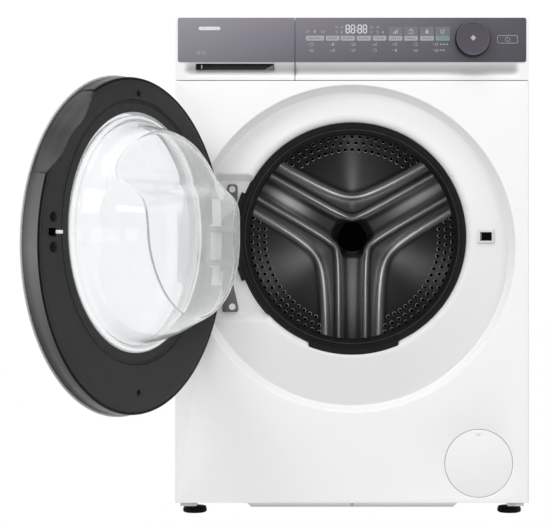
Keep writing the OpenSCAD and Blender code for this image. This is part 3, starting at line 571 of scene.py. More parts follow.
def rounded_outline(x0, x1, z0, z1, r, steps=6):
    """A rectangle with rounded corners; r is one radius, or four from lower left, anticlockwise."""
    a, b, c, d = r if isinstance(r, (list, tuple)) else [r] * 4
    return (arc(x0 + a, z0 + a, a, 180, 270, steps) + arc(x1 - b, z0 + b, b, 270, 360, steps)
            + arc(x1 - c, z1 - c, c, 0, 90, steps) + arc(x0 + d, z1 - d, d, 90, 180, steps))


def smooth(t):
    t = min(1.0, max(0.0, t))
    return t * t * (3 - 2 * t)


def finish_node(names, mat):
    """Gives CAD nodes that stay in view their finish."""
    for name in names:
        node = frame["nodes"][name]
        if not node.material_slots:
            node.data.materials.append(mat)
        for s in node.material_slots:
            s.material = mat


# ---------- front panel ----------

NOTCH_X = (-256, -264)                  # room beside the hinge for the door's edge


def panel_depth(x, z):
    """How far the panel's surface lies behind the front face at (x, z)."""
    from_door = math.hypot(x, z - DOOR_Z)
    from_port = math.hypot(x, z - PORT_Z)
    depth = RECESS_D * smooth((RECESS_R - from_door) / (RECESS_R - RECESS_FLOOR_R))
    if x < -200:
        beside = smooth((NOTCH_X[0] - x) / -4) if x < NOTCH_X[0] else 1
        level = smooth((129.5 - abs(z - DOOR_Z)) / 1.6)
        depth = max(depth, RECESS_D * level * beside * smooth((x + 265.5) / 9))
    if x < 0:
        low, low_end, high_end, high = POCKET_Z
        across = smooth((z - low) / (low_end - low)) * smooth((high - z) / (high - high_end))
        inwards = smooth((RECESS_FLOOR_R + 1 - from_door) / 5)
        depth += (POCKET_D - RECESS_D) * across * inwards
    lip = (PORT_R + PORT_MOUTH - from_port) / PORT_MOUTH
    if lip > 0:
        rounding = 1 - math.sqrt(max(0, 1 - min(1, lip) ** 2))
        depth = max(depth, RECESS_D + (PORT_D - RECESS_D) * rounding)
    return depth


def recess_loop(t, segments):
    """A ring from the porthole's edge (t = 0) to just outside the recess (t = 1)."""
    radius = PORT_R + (RECESS_R + 3 - PORT_R) * t
    middle = PORT_Z + (DOOR_Z - PORT_Z) * smooth(t)
    ring = []
    for i in range(segments):
        a = 2 * math.pi * i / segments
        x, z = radius * math.cos(a), middle + radius * math.sin(a)
        ring.append((x, FRONT + panel_depth(x, z), z))
    return ring


def fill_with_holes(outline, holes, y):
    """A flat XZ face inside outline and around the holes, as points and triangles."""
    bm = bmesh.new()
    edges = []
    for loop in [outline] + holes:
        verts = [bm.verts.new((x, y, z)) for x, z in loop]
        edges += [bm.edges.new((verts[i], verts[(i + 1) % len(verts)])) for i in range(len(verts))]
    bmesh.ops.triangle_fill(bm, use_beauty=True, use_dissolve=False, edges=edges)
    bm.verts.index_update()
    points = [tuple(v.co) for v in bm.verts]
    faces = [tuple(v.index for v in f.verts) for f in bm.faces]
    bm.free()
    return points, faces


def make_front_panel():
    shape = Shape()
    segments, rows = 480, 110
    turned_in = 0.995
    rings = [[(turned_in * x, y + 4, PORT_Z + turned_in * (z - PORT_Z))
              for x, y, z in recess_loop(0, segments)]]
    rings += [recess_loop(k / rows, segments) for k in range(rows + 1)]
    points = [p for ring in rings for p in ring]

    def in_lock(x, y, z):
        return 214.4 < x < 241.6 and abs(z - LOCK_Z) < 10.6 and y > FRONT + 25

    def in_recess(f):
        return all(math.hypot(points[i][0], points[i][2] - DOOR_Z) < RECESS_FLOOR_R + 2 for i in f)

    faces = [f for f in ring_faces(len(rings), segments) if not all(in_lock(*points[i]) for i in f)]
    # faces inside the recess take the enamel with the painted shade
    inside = [f for f in faces if in_recess(f)]
    shape.add(points, [f for f in faces if not in_recess(f)])
    shape.faces += [list(f) for f in inside]
    shape.kinds += [1] * len(inside)
    ring = [(p[0], p[2]) for p in rings[-1]]
    hatch = circle(HATCH_X, HATCH_Z, HATCH_R + 1.5, 128)
    edge = 3.5
    side_steps = 6
    inner = rounded_outline(-HALF_W + edge, HALF_W - edge, BASE + edge * 0.4, PANEL_TOP - 1, 0.6, 2)
    shape.add(*fill_with_holes(inner, [ring, hatch], FRONT))
    # rounded outer edges and the turned-back sides
    loops = []
    for k in range(side_steps + 1):
        a = math.pi / 2 * k / side_steps
        out, back = edge * math.sin(a), edge * (1 - math.cos(a))
        loops.append([(x + math.copysign(out, x), FRONT + back,
                       z + (math.copysign(min(out, 1.0), z - 400))) for x, z in inner])
    loops.append([(x, SHELL_Y - 0.6, z) for x, _, z in loops[-1]])
    shape.add([p for loop in loops for p in loop], ring_faces(len(loops), len(inner)))
    # seat of the filter hatch: rounded rim, wall, floor with the filter's hole
    shape.turn([(HATCH_R + 1.5, FRONT), (HATCH_R + 0.9, FRONT + 0.25), (HATCH_R + 0.6, FRONT + 0.9),
                (HATCH_R + 0.6, FRONT + 15), (HATCH_R - 1, FRONT + 16), (44, FRONT + 16),
                (40.5, FRONT + 17), (40, FRONT + 20)], HATCH_X, HATCH_Z, 128)
    panel = shape.piece("front_panel_skin", [WHITE, RECESS_SHADED_WHITE], "cabinet", "white_enamel",
                        ["front_panel"], 30)
    solidify(panel, 1.1)


def make_hatch():
    """Round flush cover with a shallow coin notch near its upper edge; the notch is a thin grey arc of
    painted shade.
    """
    shape = Shape()
    x0, z0 = HATCH_X, HATCH_Z
    shape.turn([(0.01, FRONT + 2.4), (HATCH_R - 0.8, FRONT + 2.4), (HATCH_R, FRONT + 1.6),
                (HATCH_R, FRONT + 0.7), (HATCH_R - 0.3, FRONT + 0.2), (HATCH_R - 1, FRONT),
                (0.01, FRONT)], x0, z0, 128)
    lug = 9
    shape.box((x0 - lug, FRONT + 1.5, z0 - HATCH_R + 1), (x0 + lug, FRONT + 4, z0 - HATCH_R + 9))
    shape.piece("filter_hatch_cover", WHITE_PLASTIC, "hatch", "white_plastic", ["filter_hatch"], 30)
    # the notch: a grey arc laid on the face, painted shade in place of a cut
    notch = Shape()
    notch.prism(arc(x0, z0 + HATCH_R - 5.2, 5, 200, 340, 10), FRONT - 0.35, FRONT + 0.2)
    notch.piece("hatch_coin_notch_shade", LIGHT_GREY, "hatch", "grey_plastic", (), 30)


def make_apron():
    low, high = span("lower_apron")
    shape = Shape()
    outline = [(high[0], high[2] + 3), (high[0], high[2] - 1), (high[0] - 6, low[2]), (low[0] + 6, low[2]),
               (low[0], high[2] - 1), (low[0], high[2] + 3)]
    shape.prism(outline, low[1], high[1])
    soften(shape.piece("apron_strip", APRON_WHITE_SHADED, "cabinet", "white_plastic", ["lower_apron"], 30), 0.8)
    # the screw's recess is a flat grey disc laid on the strip: painted shade in place of a hollow
    hole = Shape()
    hole.turn([(0.01, low[1] - 0.1), (2.6, low[1] - 0.1), (3.0, low[1] + 0.3)], 0, low[2] + 3.2, 24)
    hole.piece("apron_screw_recess_shade", GREY, "cabinet", "grey_plastic")


# ---------- cabinet ----------

def make_side_panels():
    """Two side walls with a shallow stamped field, and the turned-in front and rear edges."""
    low, high = span("cabinet_shell")
    shape = Shape()
    ny, nz = 46, 64
    for s in (-1, 1):
        pts = []
        for i in range(ny + 1):
            for j in range(nz + 1):
                y = low[1] + (high[1] - low[1]) * i / ny
                z = low[2] + (high[2] - low[2]) * j / nz
                inset = min(y - low[1] - 60, high[1] - 60 - y, z - low[2] - 70, high[2] - 80 - z)
                x = high[0] - 2.2 * smooth(inset / 16)
                pts.append((s * x, y, z))
        shape.add(pts, grid_faces(ny + 1, nz + 1))
    solidify(shape.piece("side_walls", WHITE, "cabinet", "white_enamel", (), 40), 1.2)


def make_back_panel():
    low, high = span("cabinet_shell")
    cover_low, cover_high = span("rear_cover")
    shape = Shape()
    hole = rounded_outline(-205, 205, 185, 705, 18)
    round_holes = [(-230, 775, 16), (230, 735, 13), (255, 785, 9)]
    round_holes += [(x, z, 12) for x in (-262, 262) for z in (250, 640)]
    loops = [hole] + [circle(x, z, r, 32) for x, z, r in round_holes]
    outer = rounded_outline(low[0] + 1, high[0] - 1, low[2], high[2], 1)
    shape.add(*fill_with_holes(outer, loops, high[1]))
    solidify(shape.piece("back_panel", ZINC, "cabinet", "galvanised", ["cabinet_shell"], 30), 1.2, 1)
    # service cover with a round bulge over the pulley, and stiffening ribs
    cover = Shape()
    nx, nz = 150, 180
    pts = []
    x0, x1, z0, z1 = cover_low[0], cover_high[0], cover_low[2], cover_high[2]
    for i in range(nx + 1):
        for j in range(nz + 1):
            x, z = x0 + (x1 - x0) * i / nx, z0 + (z1 - z0) * j / nz
            r = math.hypot(x, z - DRUM_Z)
            bulge = 6.4 * smooth((176 - r) / 14) - 2.2 * smooth((118 - r) / 9)
            bulge += 1.2 * smooth((36 - r) / 6)
            rib = 2.6 * smooth((5 - abs(abs(x) - 192)) / 3) * smooth((min(z - z0, z1 - z) - 40) / 10)
            pts.append((x, high[1] + 1.3 + max(bulge, rib), z))
    cover.add(pts, grid_faces(nx + 1, nz + 1))
    solidify(cover.piece("service_cover", ZINC, "cabinet", "galvanised", ["rear_cover"], 40), 1.1)


def make_worktop():
    """Laminated slab with softly rounded front and sides, and its plastic frame."""
    shape = Shape()
    shape.box((top_low[0], top_low[1], TOP - 16), (top_high[0], top_high[1], TOP))
    soften(shape.piece("worktop_slab", WHITE, "cabinet", "white_laminate", ["worktop"], 30), 3.5, 5)
    under = Shape()
    under.box((top_low[0] + 3, top_low[1] + 2, top_low[2]), (top_high[0] - 3, top_high[1] - 2, TOP - 15.5))
    soften(under.piece("worktop_frame", WHITE_PLASTIC, "cabinet", "white_plastic"), 1.5)


# ---------- console, drawer front and fascia ----------

GRIP = (-263.6, -132.5, CONSOLE_Z + 18.3, CONSOLE_Z + 28.4)     # finger slot of the drawer


def groove_depth(x, z):
    """Depth of the long trough under the fascia."""
    ends = smooth((HALF_W - 13 - abs(x)) / 15)
    u = (z - GROOVE_Z) / GROOVE_H
    if abs(u) >= 1:
        return 0
    steep = (1 - abs(u)) ** 0.8 if u > 0 else 0.5 * (1 + math.cos(math.pi * u))
    return GROOVE_D * ends * steep


def console_front(name, x0, x1, body, node, hole=None):
    """The white lower strip of the console with its trough, and the shell around the fascia."""
    shape = Shape()
    z0, z1 = CONSOLE_Z + 0.3, TOP - 0.2
    xs = sorted(set([x0, x1] + [x0 + (x1 - x0) * i / 60 for i in range(61)]
                    + [v for v in np.linspace(-HALF_W + 12, -HALF_W + 30, 12) if x0 < v < x1]
                    + [v for v in np.linspace(HALF_W - 30, HALF_W - 12, 12) if x0 < v < x1]
                    + ([hole[0], hole[1]] if hole else [])))
    zs = sorted(set([z0, z1, FASCIA_Z - 0.4] + list(np.linspace(z0, FASCIA_Z - 0.4, 44))
                    + ([hole[2], hole[3]] if hole else [])))
    pts = [(x, FRONT + groove_depth(x, z), z) for x in xs for z in zs]
    rows = len(zs)

    def in_hole(face):
        i, j = divmod(face[0], rows)
        return (hole and hole[0] <= xs[i] and xs[i + 1] <= hole[1]
                and hole[2] <= zs[j] and zs[j + 1] <= hole[3])

    shape.add(pts, [f for f in grid_faces(len(xs), rows) if not in_hole(f)])
    deep = SHELL_Y + 0.8
    shape.walls([(x0, z0), (x1, z0), (x1, z1), (x0, z1)], FRONT, deep)
    piece = shape.piece(name, CONSOLE_WHITE_SHADED, body, "white_plastic", [node], 28)
    apply_modifier(piece, "BEVEL", width=1.2 * MM, segments=3, limit_method="ANGLE",
                   angle_limit=math.radians(60))
    shade(piece.data, 28)


def fascia_plate(name, x0, x1, radii, body, node, holes=()):
    shape = Shape()
    outline = rounded_outline(x0, x1, FASCIA_Z, TOP - 0.6, radii, 6)
    shape.add(*fill_with_holes(outline, list(holes), FRONT - 1))
    for loop, side in [(outline, 1)] + [(h, -1) for h in holes]:
        n = len(loop)
        grow = 0.35 * side
        cx, cz = sum(p[0] for p in loop) / n, sum(p[1] for p in loop) / n
        out = [(x + math.copysign(grow, x - cx), z + math.copysign(grow, z - cz)) for x, z in loop]
        shape.add([(x, FRONT - 1, z) for x, z in loop] + [(x, FRONT - 0.65, z) for x, z in out]
                  + [(x, FRONT + 2, z) for x, z in out], ring_faces(3, n))
    shape.piece(name, FASCIA, body, "fascia_grey", [node], 30)


def make_console():
    console_front("drawer_front_shell", -HALF_W + 0.5, SEAM_X, "drawer", "drawer_front", GRIP)
    console_front("console_shell", SEAM_X + 1.3, HALF_W, "cabinet", "console_housing")
    corner = 3.6
    fascia_plate("drawer_fascia_plate", -HALF_W + 5.2, SEAM_X, [corner, 0.3, 0.3, corner], "drawer",
                 "drawer_fascia")
    dial_hole = circle(DIAL_X, DIAL_Z, 12, 48)
    gap = 0.35
    key_hole = rounded_outline(key_low[0] - gap, key_high[0] + gap, key_low[2] - gap, key_high[2] + gap, 3.2)
    fascia_plate("fascia_plate", SEAM_X + 1.4, HALF_W - 5.2, [0.3, corner, corner, 0.3], "cabinet",
                 "fascia_panel", [dial_hole, key_hole])
    # dark finger slot: a box open to the front, with a slanted guide at its right end
    x0, x1, z0, z1 = GRIP
    slot = Shape()
    deep = FRONT + 14.5
    slot.pocket(x0, x1, z0, z1, FRONT + 3.2, deep)
    slot.piece("drawer_grip_slot", SLOT_DARK, "drawer", "grey_plastic", (), 30)
    wedge = Shape()
    wedge.prism([(x1 - 16, z0 + 0.1), (x1 - 0.2, z0 + 0.1), (x1 - 0.2, z1 - 1)], FRONT + 6, deep)
    soften(wedge.piece("drawer_grip_wedge", GREY, "drawer", "grey_plastic"), 0.6)
    tick = Shape()
    tick.box((x0 + 8.5, FRONT + 5, z0 + 2), (x0 + 9.7, deep, z1 - 2))
    tick.piece("drawer_grip_rib", LIGHT_GREY, "drawer", "grey_plastic")
    frame_strip = Shape()
    for low, high in (((x0 - 0.6, FRONT + 3, z1), (x1 + 0.6, FRONT + 7.4, z1 + 0.7)),
                      ((x0 - 0.8, FRONT + 3, z0), (x0, FRONT + 7, z1)),
                      ((x1, FRONT + 3, z0), (x1 + 0.8, FRONT + 7, z1))):
        frame_strip.box(low, high)
    frame_strip.piece("drawer_grip_edge", GREY, "drawer", "grey_plastic")


def digit(shape, x, z, w, h, bar, y, kind):
    """A seven-segment 8 of bevelled bars."""
    def across(zc):
        return [(x + bar * 0.6, zc), (x + bar, zc + bar / 2), (x + w - bar, zc + bar / 2),
                (x + w - bar * 0.6, zc), (x + w - bar, zc - bar / 2), (x + bar, zc - bar / 2)]

    def upright(xc, z0, z1):
        return [(xc, z0 + bar * 0.1), (xc + bar / 2, z0 + bar / 2), (xc + bar / 2, z1 - bar / 2),
                (xc, z1 - bar * 0.1), (xc - bar / 2, z1 - bar / 2), (xc - bar / 2, z0 + bar / 2)]

    for zc in (z + bar / 2, z + h / 2, z + h - bar / 2):
        shape.prism(across(zc), y, y + 0.3, kind)
    for xc in (x + bar / 2, x + w - bar / 2):
        shape.prism(upright(xc, z + bar * 0.5, z + h / 2), y, y + 0.3, kind)
        shape.prism(upright(xc, z + h / 2, z + h - bar * 0.5), y, y + 0.3, kind)


def ring_mark(shape, x, z, r, width, y, kind, a0=0, a1=360, steps=20):
    outer = arc(x, z, r, a0, a1, steps)
    inner = arc(x, z, r - width, a0, a1, steps)
    shape.add([(px, y, pz) for px, pz in outer + inner], grid_faces(2, len(outer)), kind)


def glyph(shape, style, x, z, s, y, kind):
    """One of a few generic symbols, about s wide."""
    if style == 0:      # open garment outline
        ring_mark(shape, x, z - s * 0.1, s * 0.45, s * 0.13, y, kind, 200, 520, 14)
        shape.box((x - s * 0.1, y, z + s * 0.28), (x + s * 0.1, y + 0.2, z + s * 0.48), kind)
    elif style == 1:    # drop
        shape.prism([(x, z + s * 0.5), (x + s * 0.3, z - s * 0.05), (x + s * 0.2, z - s * 0.4),
                     (x - s * 0.2, z - s * 0.4), (x - s * 0.3, z - s * 0.05)], y, y + 0.2, kind)
    elif style == 2:    # basket
        shape.box((x - s * 0.4, y, z - s * 0.4), (x + s * 0.4, y + 0.2, z - s * 0.28), kind)
        for left in (-0.46, 0.34):
            shape.box((x + s * left, y, z - s * 0.4), (x + s * (left + 0.12), y + 0.2, z + s * 0.3), kind)
        ring_mark(shape, x, z, s * 0.2, s * 0.1, y, kind)
    elif style == 3:    # bars
        for k in range(3):
            h = s * (0.3 + 0.25 * k)
            shape.box((x + s * (-0.4 + 0.3 * k), y, z - s * 0.4),
                      (x + s * (-0.22 + 0.3 * k), y + 0.2, z - s * 0.4 + h), kind)
    else:               # ring with a stem
        ring_mark(shape, x - s * 0.08, z - s * 0.08, s * 0.36, s * 0.12, y, kind)
        stem = ((0.12, 0.2), (0.2, 0.12), (0.48, 0.4), (0.4, 0.48))
        shape.prism([(x + s * a, z + s * b) for a, b in stem], y, y + 0.2, kind)


def make_fascia_marks():
    """Display digits, touch fields and generic symbols, as a thin print on the fascia."""
    y = FRONT - 1.12
    marks = Shape()
    digits_z, digit_h, digit_w = 818, 15, 7.4
    for x in (-11, -2.2, 9.2, 18):
        digit(marks, x, digits_z, digit_w, digit_h, 1.7, y, 0)
    for z in (digits_z + 4.4, digits_z + 9.6):
        marks.box((6.6, y, z), (7.9, y + 0.2, z + 1.3), 0)
    # small symbols left and right of the digits
    for k, x in enumerate((-76, -63, -49)):
        glyph(marks, (3, 1, 2)[k], x, 821.5, 6, y, 1)
    for k, (x, z) in enumerate(((-26, 820.5), (-17.5, 820.5), (-26, 829), (-17.5, 829),
                                (33, 820.5), (43, 820.5), (52, 820.5), (33, 829), (43, 829))):
        glyph(marks, k % 5, x, z, 5.2, y, 1)
    # touch fields: a row of low tabs and four tall ones
    tabs = [(-78, -47), (-44, -21), (-19, 5), (8, 32), (35, 58)]
    for x0, x1 in tabs:
        marks.prism(rounded_outline(x0, x1, 805.8, 814.2, [2.4, 2.4, 0.6, 0.6], 3), y, y + 0.12, 1)
        for k in range(int((x1 - x0 - 7) / 3.1)):
            marks.box((x0 + 3.7 + 3.1 * k, y - 0.06, 809.2), (x0 + 5.9 + 3.1 * k, y, 810.8), 6)
    for k, (x0, x1) in enumerate(((62, 85), (88, 111), (115, 138), (141, 165))):
        marks.prism(rounded_outline(x0, x1, 805.8, 829.5, 1.2, 3), y, y + 0.12, 2 if k < 3 else 4)
        marks.prism(rounded_outline(x0, x1, 805.8, 813.6, [1.2, 1.2, 0.2, 0.2], 3), y - 0.05, y + 0.05,
                    1 if k < 3 else 3)
        for m in range(5):
            marks.box((x0 + 4 + 3.1 * m, y - 0.09, 809), (x0 + 6.2 + 3.1 * m, y - 0.05, 810.6), 6)
        glyph(marks, (3, 0, 1, 4)[k], (x0 + x1) / 2, 821.5, 9, y - 0.05, 5)
    # two rows of bulleted symbols
    for row, z in enumerate((799.8, 789.8)):
        for k, x in enumerate((-68, -32, 3, 39, 74, 108)):
            marks.box((x - 5.6, y, z - 0.7), (x - 4.2, y + 0.2, z + 0.7), 1)
            glyph(marks, (k + 2 * row) % 5, x, z, 6.4, y, 1)
        marks.box((137, y, z - 0.7), (138.4, y + 0.2, z + 0.7), 1)
        glyph(marks, 4 - row * 2, 143, z, 6.4, y, 1)
        for k in range(3 - row):
            marks.box((148.5 + 5 * k, y, z - 1), (152 + 5 * k, y + 0.2, z + 1), 1)
    inks = [INK, INK_SOFT, INK_FIELD, INK_GREEN, INK_FIELD, INK_DIM, INK_DARK]
    marks.piece("fascia_print", inks, "cabinet", "fascia_grey")
    # a plain bar and two small symbols on the drawer
    left = Shape()
    left.prism(rounded_outline(-259, -222, 823.5, 829.5, 3, 5), y, y + 0.2, 0)
    glyph(left, 4, -259, 786, 8, y, 1)
    ring_mark(left, -250.5, 785, 3, 0.9, y, 1)
    left.piece("drawer_print", [INK, INK_SOFT], "drawer", "fascia_grey")


def make_dial():
    """Round knob: turned side darkened with painted shade, thin rim made bright as a painted highlight, flat
    face with a small diamond.
    """
    y0 = dial_low[1] + 0.5
    knob = Shape()
    r = DIAL_R
    knob.turn([(r - 6, FRONT - 1.7), (r, FRONT - 1.9), (r - 0.1, y0 + 9), (r - 1.6, y0 + 1.4)],
              DIAL_X, DIAL_Z, 144, 0)
    knob.turn([(r - 1.6, y0 + 1.4), (r - 1.9, y0 + 0.5), (r - 2.4, y0 + 0.1), (r - 2.9, y0 + 0.3)],
              DIAL_X, DIAL_Z, 144, 1)
    knob.turn([(r - 2.9, y0 + 0.3), (r - 3.3, y0 + 0.6), (r * 0.6, y0 + 0.8), (r * 0.3, y0 + 0.85),
               (0.01, y0 + 0.9)], DIAL_X, DIAL_Z, 144, 2)
    knob.turn([(10, FRONT + 8), (10, FRONT - 1.7), (r - 6, FRONT - 1.7)], DIAL_X, DIAL_Z, 60, 0)
    half = 4.8
    diamond = [(DIAL_X - half, DIAL_Z), (DIAL_X, DIAL_Z - half), (DIAL_X + half, DIAL_Z),
               (DIAL_X, DIAL_Z + half)]
    knob.prism(diamond, y0 + 0.7, y0 + 0.95, 3)
    knob.piece("dial", [DIAL_SIDE_SHADE, DIAL_RIM_HIGHLIGHT, DIAL_FACE, INK_DIM], "dial", "dial_metal", ["dial_knob"], 40)


def make_power_key():
    key = Shape()
    x0, x1, z0, z1 = key_low[0], key_high[0], key_low[2], key_high[2]
    key.prism(rounded_outline(x0, x1, z0, z1, 3), FRONT - 1.2, FRONT + 3, 0)
    y = FRONT - 1.35
    outer = rounded_outline(x0 + 0.2, x1 - 0.2, z0 + 0.2, z1 - 0.2, 2.9)
    inner = rounded_outline(x0 + 1.1, x1 - 1.1, z0 + 1.1, z1 - 1.1, 2.1)
    key.add([(x, y, z) for x, z in outer + inner], ring_faces(2, len(outer)), 1)
    xc, zc = (x0 + x1) / 2, (z0 + z1) / 2
    ring_mark(key, xc, zc, 4.2, 0.8, y, 1, 120, 420)
    key.box((xc - 0.4, y, zc + 1), (xc + 0.4, y + 0.1, zc + 4.8), 1)
    key.piece("power_key", [FASCIA, INK_SOFT], "power", "fascia_grey", ["power_button"], 40)


# ---------- door ----------
# door pieces are drawn on the closed door, then swung open about the hinge

FACE = HINGE[1] + 21                    # inner face of the dark frame, on the closed door
TRIM = HINGE[1] - 8                     # widest edge of the outer trim ring
FRAME_R, DOOR_R = 264.5, 268
BOWL_HOLE = 187
HOOK_X = 226
HOOK_Z = LOCK_Z - 4.2                   # the hook sits a little below the slot's middle


def open_door(shape):
    """Swings a shape that was drawn on the closed door to the open one."""
    a = math.radians(-DOOR_OPEN)
    c, s = math.cos(a), math.sin(a)
    hx, hy = HINGE[0], HINGE[1]
    shape.points = [(hx + (x - hx) * c - (y - hy) * s, hy + (x - hx) * s + (y - hy) * c, z)
                    for x, y, z in shape.points]
    return shape


# angle round the door in degrees, and the radius at which the scoop starts there
SCOOP = [(22, 272), (22.8, 264), (25.2, 258), (28.5, 250), (32.7, 243), (38.2, 241.4), (43.8, 242),
         (48.2, 239.4), (51.6, 239.6), (54.8, 243), (58.2, 250.6), (60.9, 257.5), (63.3, 264), (64.5, 272)]
SCOOP_D = 25.5


def scoop_depth(x, z):
    """The finger scoop: the upper free part of the dark frame slopes away to the trim ring."""
    r = math.hypot(x, z - DOOR_Z)
    theta = math.degrees(math.atan2(z - DOOR_Z, x))
    if not SCOOP[0][0] < theta < SCOOP[-1][0]:
        return 0
    edge = float(np.interp(theta, [p[0] for p in SCOOP], [p[1] for p in SCOOP]))
    if r <= edge or edge > FRAME_R:
        return 0
    across = min(1, (r - edge) / (FRAME_R - edge + 0.01))
    knots = [0, 0.06, 0.16, 0.5, 0.62, 0.9, 1]
    return SCOOP_D * float(np.interp(across, knots, [0, 0.06, 0.22, 0.5, 0.68, 0.93, 1]))


def scale_to_rim(x, z):
    """The same direction from the door's centre, just inside the rim."""
    k = (FRAME_R - 0.4) / math.hypot(x, z - DOOR_Z)
    return x * k, DOOR_Z + (z - DOOR_Z) * k


def door_opening(x, z, in_face=True):
    """Whether the frame is open at (x, z): beside the hinge and, in its face, for the arms and the hook."""
    from_hinge = abs(z - HINGE_MID)
    if x < -224 and from_hinge < 71:
        return True
    hook = abs(x - HOOK_X - 3.5) < 9 and abs(z - HOOK_Z) < 6
    return in_face and (hook or (x < -202 and from_hinge < 38))


def make_door_frame():
    """Dark inner frame: face, step ring around the bowl, finger scoop, side band."""
    shape = Shape()
    segments, rows = 540, 44
    points, faces = [], []
    radii = sorted(set([k / rows for k in range(rows + 1)] + [0.18, 0.19, 0.2, 0.235, 0.245, 0.255]))
    for t in radii:
        radius = BOWL_HOLE + 1.5 + (FRAME_R - 3.2 - BOWL_HOLE - 1.5) * t
        middle = PORT_Z + (DOOR_Z - PORT_Z) * smooth((t - 0.25) / 0.75)
        for i in range(segments):
            a = 2 * math.pi * i / segments
            x, z = radius * math.cos(a), middle + radius * math.sin(a)
            y = FACE - scoop_depth(x, z)
            rho = math.hypot(x, z - PORT_Z)
            y -= 1.7 * smooth((208 - rho) / 1.2) * smooth((rho - 203.4) / 1.2)
            y -= 0.9 * smooth((203.4 - rho) / 1.2)
            y -= 0.5 * smooth((2.2 - abs(math.hypot(x, z - DOOR_Z) - 257.5)) / 1.2)
            points.append((x, y, z))
    n = segments
    for r in range(len(radii) - 1):
        for i in range(n):
            quad = (r * n + i, (r + 1) * n + i, (r + 1) * n + (i + 1) % n, r * n + (i + 1) % n)
            mid = centre(points, quad)
            if not door_opening(mid[0], mid[2]):
                faces.append(quad)
    # rim: rounded shoulder, then the side band down to the trim
    last = (len(radii) - 1) * n
    profile = [(FRAME_R - 1.6, -0.5), (FRAME_R - 0.7, -1.5), (FRAME_R - 0.3, -3), (FRAME_R, -6),
               (FRAME_R, -27.5)]
    for radius, dy in profile:
        for i in range(n):
            a = 2 * math.pi * i / n
            x, z = radius * math.cos(a), DOOR_Z + radius * math.sin(a)
            cut = scoop_depth(*scale_to_rim(x, z))
            points.append((x, FACE + min(dy, -cut), z))
    count = len(radii)
    for k in range(len(profile)):
        row = last if k == 0 else (count + k - 1) * n
        upper = (count + k) * n
        for i in range(n):
            quad = (row + i, upper + i, upper + (i + 1) % n, row + (i + 1) % n)
            mid = centre(points, quad)
            if not door_opening(mid[0], mid[2], False):
                faces.append(quad)
    shape.add(points, faces)
    face_mat, band_highlight_mat, shoulder_shade_mat, scoop_highlight_mat, collar_mat = range(5)
    for k, quad in enumerate(faces):
        mid = centre(points, quad)
        if scoop_depth(mid[0], mid[2]) > 0.3:
            shape.kinds[k] = scoop_highlight_mat
        elif min(quad) >= (count + 1) * n:
            shape.kinds[k] = band_highlight_mat
        else:
            # the rounded shoulder takes black rubber, darker than the frame's plastic: a painted shade line
            shape.kinds[k] = shoulder_shade_mat if min(quad) >= (count - 2) * n else face_mat
    # collar that holds the bowl
    shape.turn([(BOWL_HOLE + 1.5, FACE - 0.9), (BOWL_HOLE + 0.6, FACE - 1.2), (BOWL_HOLE + 0.2, FACE - 2),
                (BOWL_HOLE + 0.2, FACE - 24), (BOWL_HOLE + 5, FACE - 24)], 0, PORT_Z, 288, collar_mat)
    ring = open_door(shape).piece("door_inner_frame", [DOOR_DARK, DOOR_BAND_HIGHLIGHT, BLACK, DOOR_SCOOP_HIGHLIGHT, COLLAR],
                                  "door", "door_dark", ["door_frame"], 30)
    solidify(ring, 1.6)


def make_door_details():
    """The hook in its black well, two buffers and two screws."""
    # black well around the hook, seen through its window
    well = Shape()
    well.pocket(HOOK_X - 5.5, HOOK_X + 12.5, HOOK_Z - 6, HOOK_Z + 6, FACE, FACE - 16)
    open_door(well).piece("hook_well", BLACK, "door", "door_dark")
    # hook
    hook = Shape()
    hook.box((HOOK_X - 2.4, HINGE[1] + 8, HOOK_Z - 2.1), (HOOK_X + 1.4, HINGE[1] + 29, HOOK_Z + 2.1), 1)
    hook.box((HOOK_X - 3.2, HINGE[1] + 28, HOOK_Z - 2.6), (HOOK_X + 4.8, HINGE[1] + 35.8, HOOK_Z + 2.6))
    tip = open_door(hook).piece("latch_hook", [WHITE_PLASTIC, BLACK], "hook", "white_plastic", ["door_hook"])
    soften(tip, 0.7)
    # buffers, screws and the hook's pin
    bits = Shape()
    for z in (HOOK_Z - 22, HOOK_Z + 22):
        bits.turn([(0.01, FACE + 3.4), (4.5, FACE + 3.2), (6.6, FACE + 2.4), (7.8, FACE + 1),
                   (8, FACE - 1)], HOOK_X, z, 40)
    open_door(bits).piece("door_buffer_pads", BLACK, "door", "black_rubber", ["door_buffers"])
    screws = Shape()
    for z in (DOOR_Z - 229.5, DOOR_Z + 239.5):
        screws.turn([(0.01, FACE + 0.3), (1.6, FACE + 0.3), (2, FACE + 1.5), (4, FACE + 1.3),
                     (5, FACE + 0.4), (5.2, FACE - 1)], 0, z, 36)
    open_door(screws).piece("door_screws", BLACK, "door", "door_dark")
    pin = Shape()
    pin.turn_z([(1.5, HOOK_Z - 9), (1.5, HOOK_Z + 9)], HOOK_X, HINGE[1] + 8, 20)
    open_door(pin).piece("hook_pin", STEEL, "door", "bright_steel")


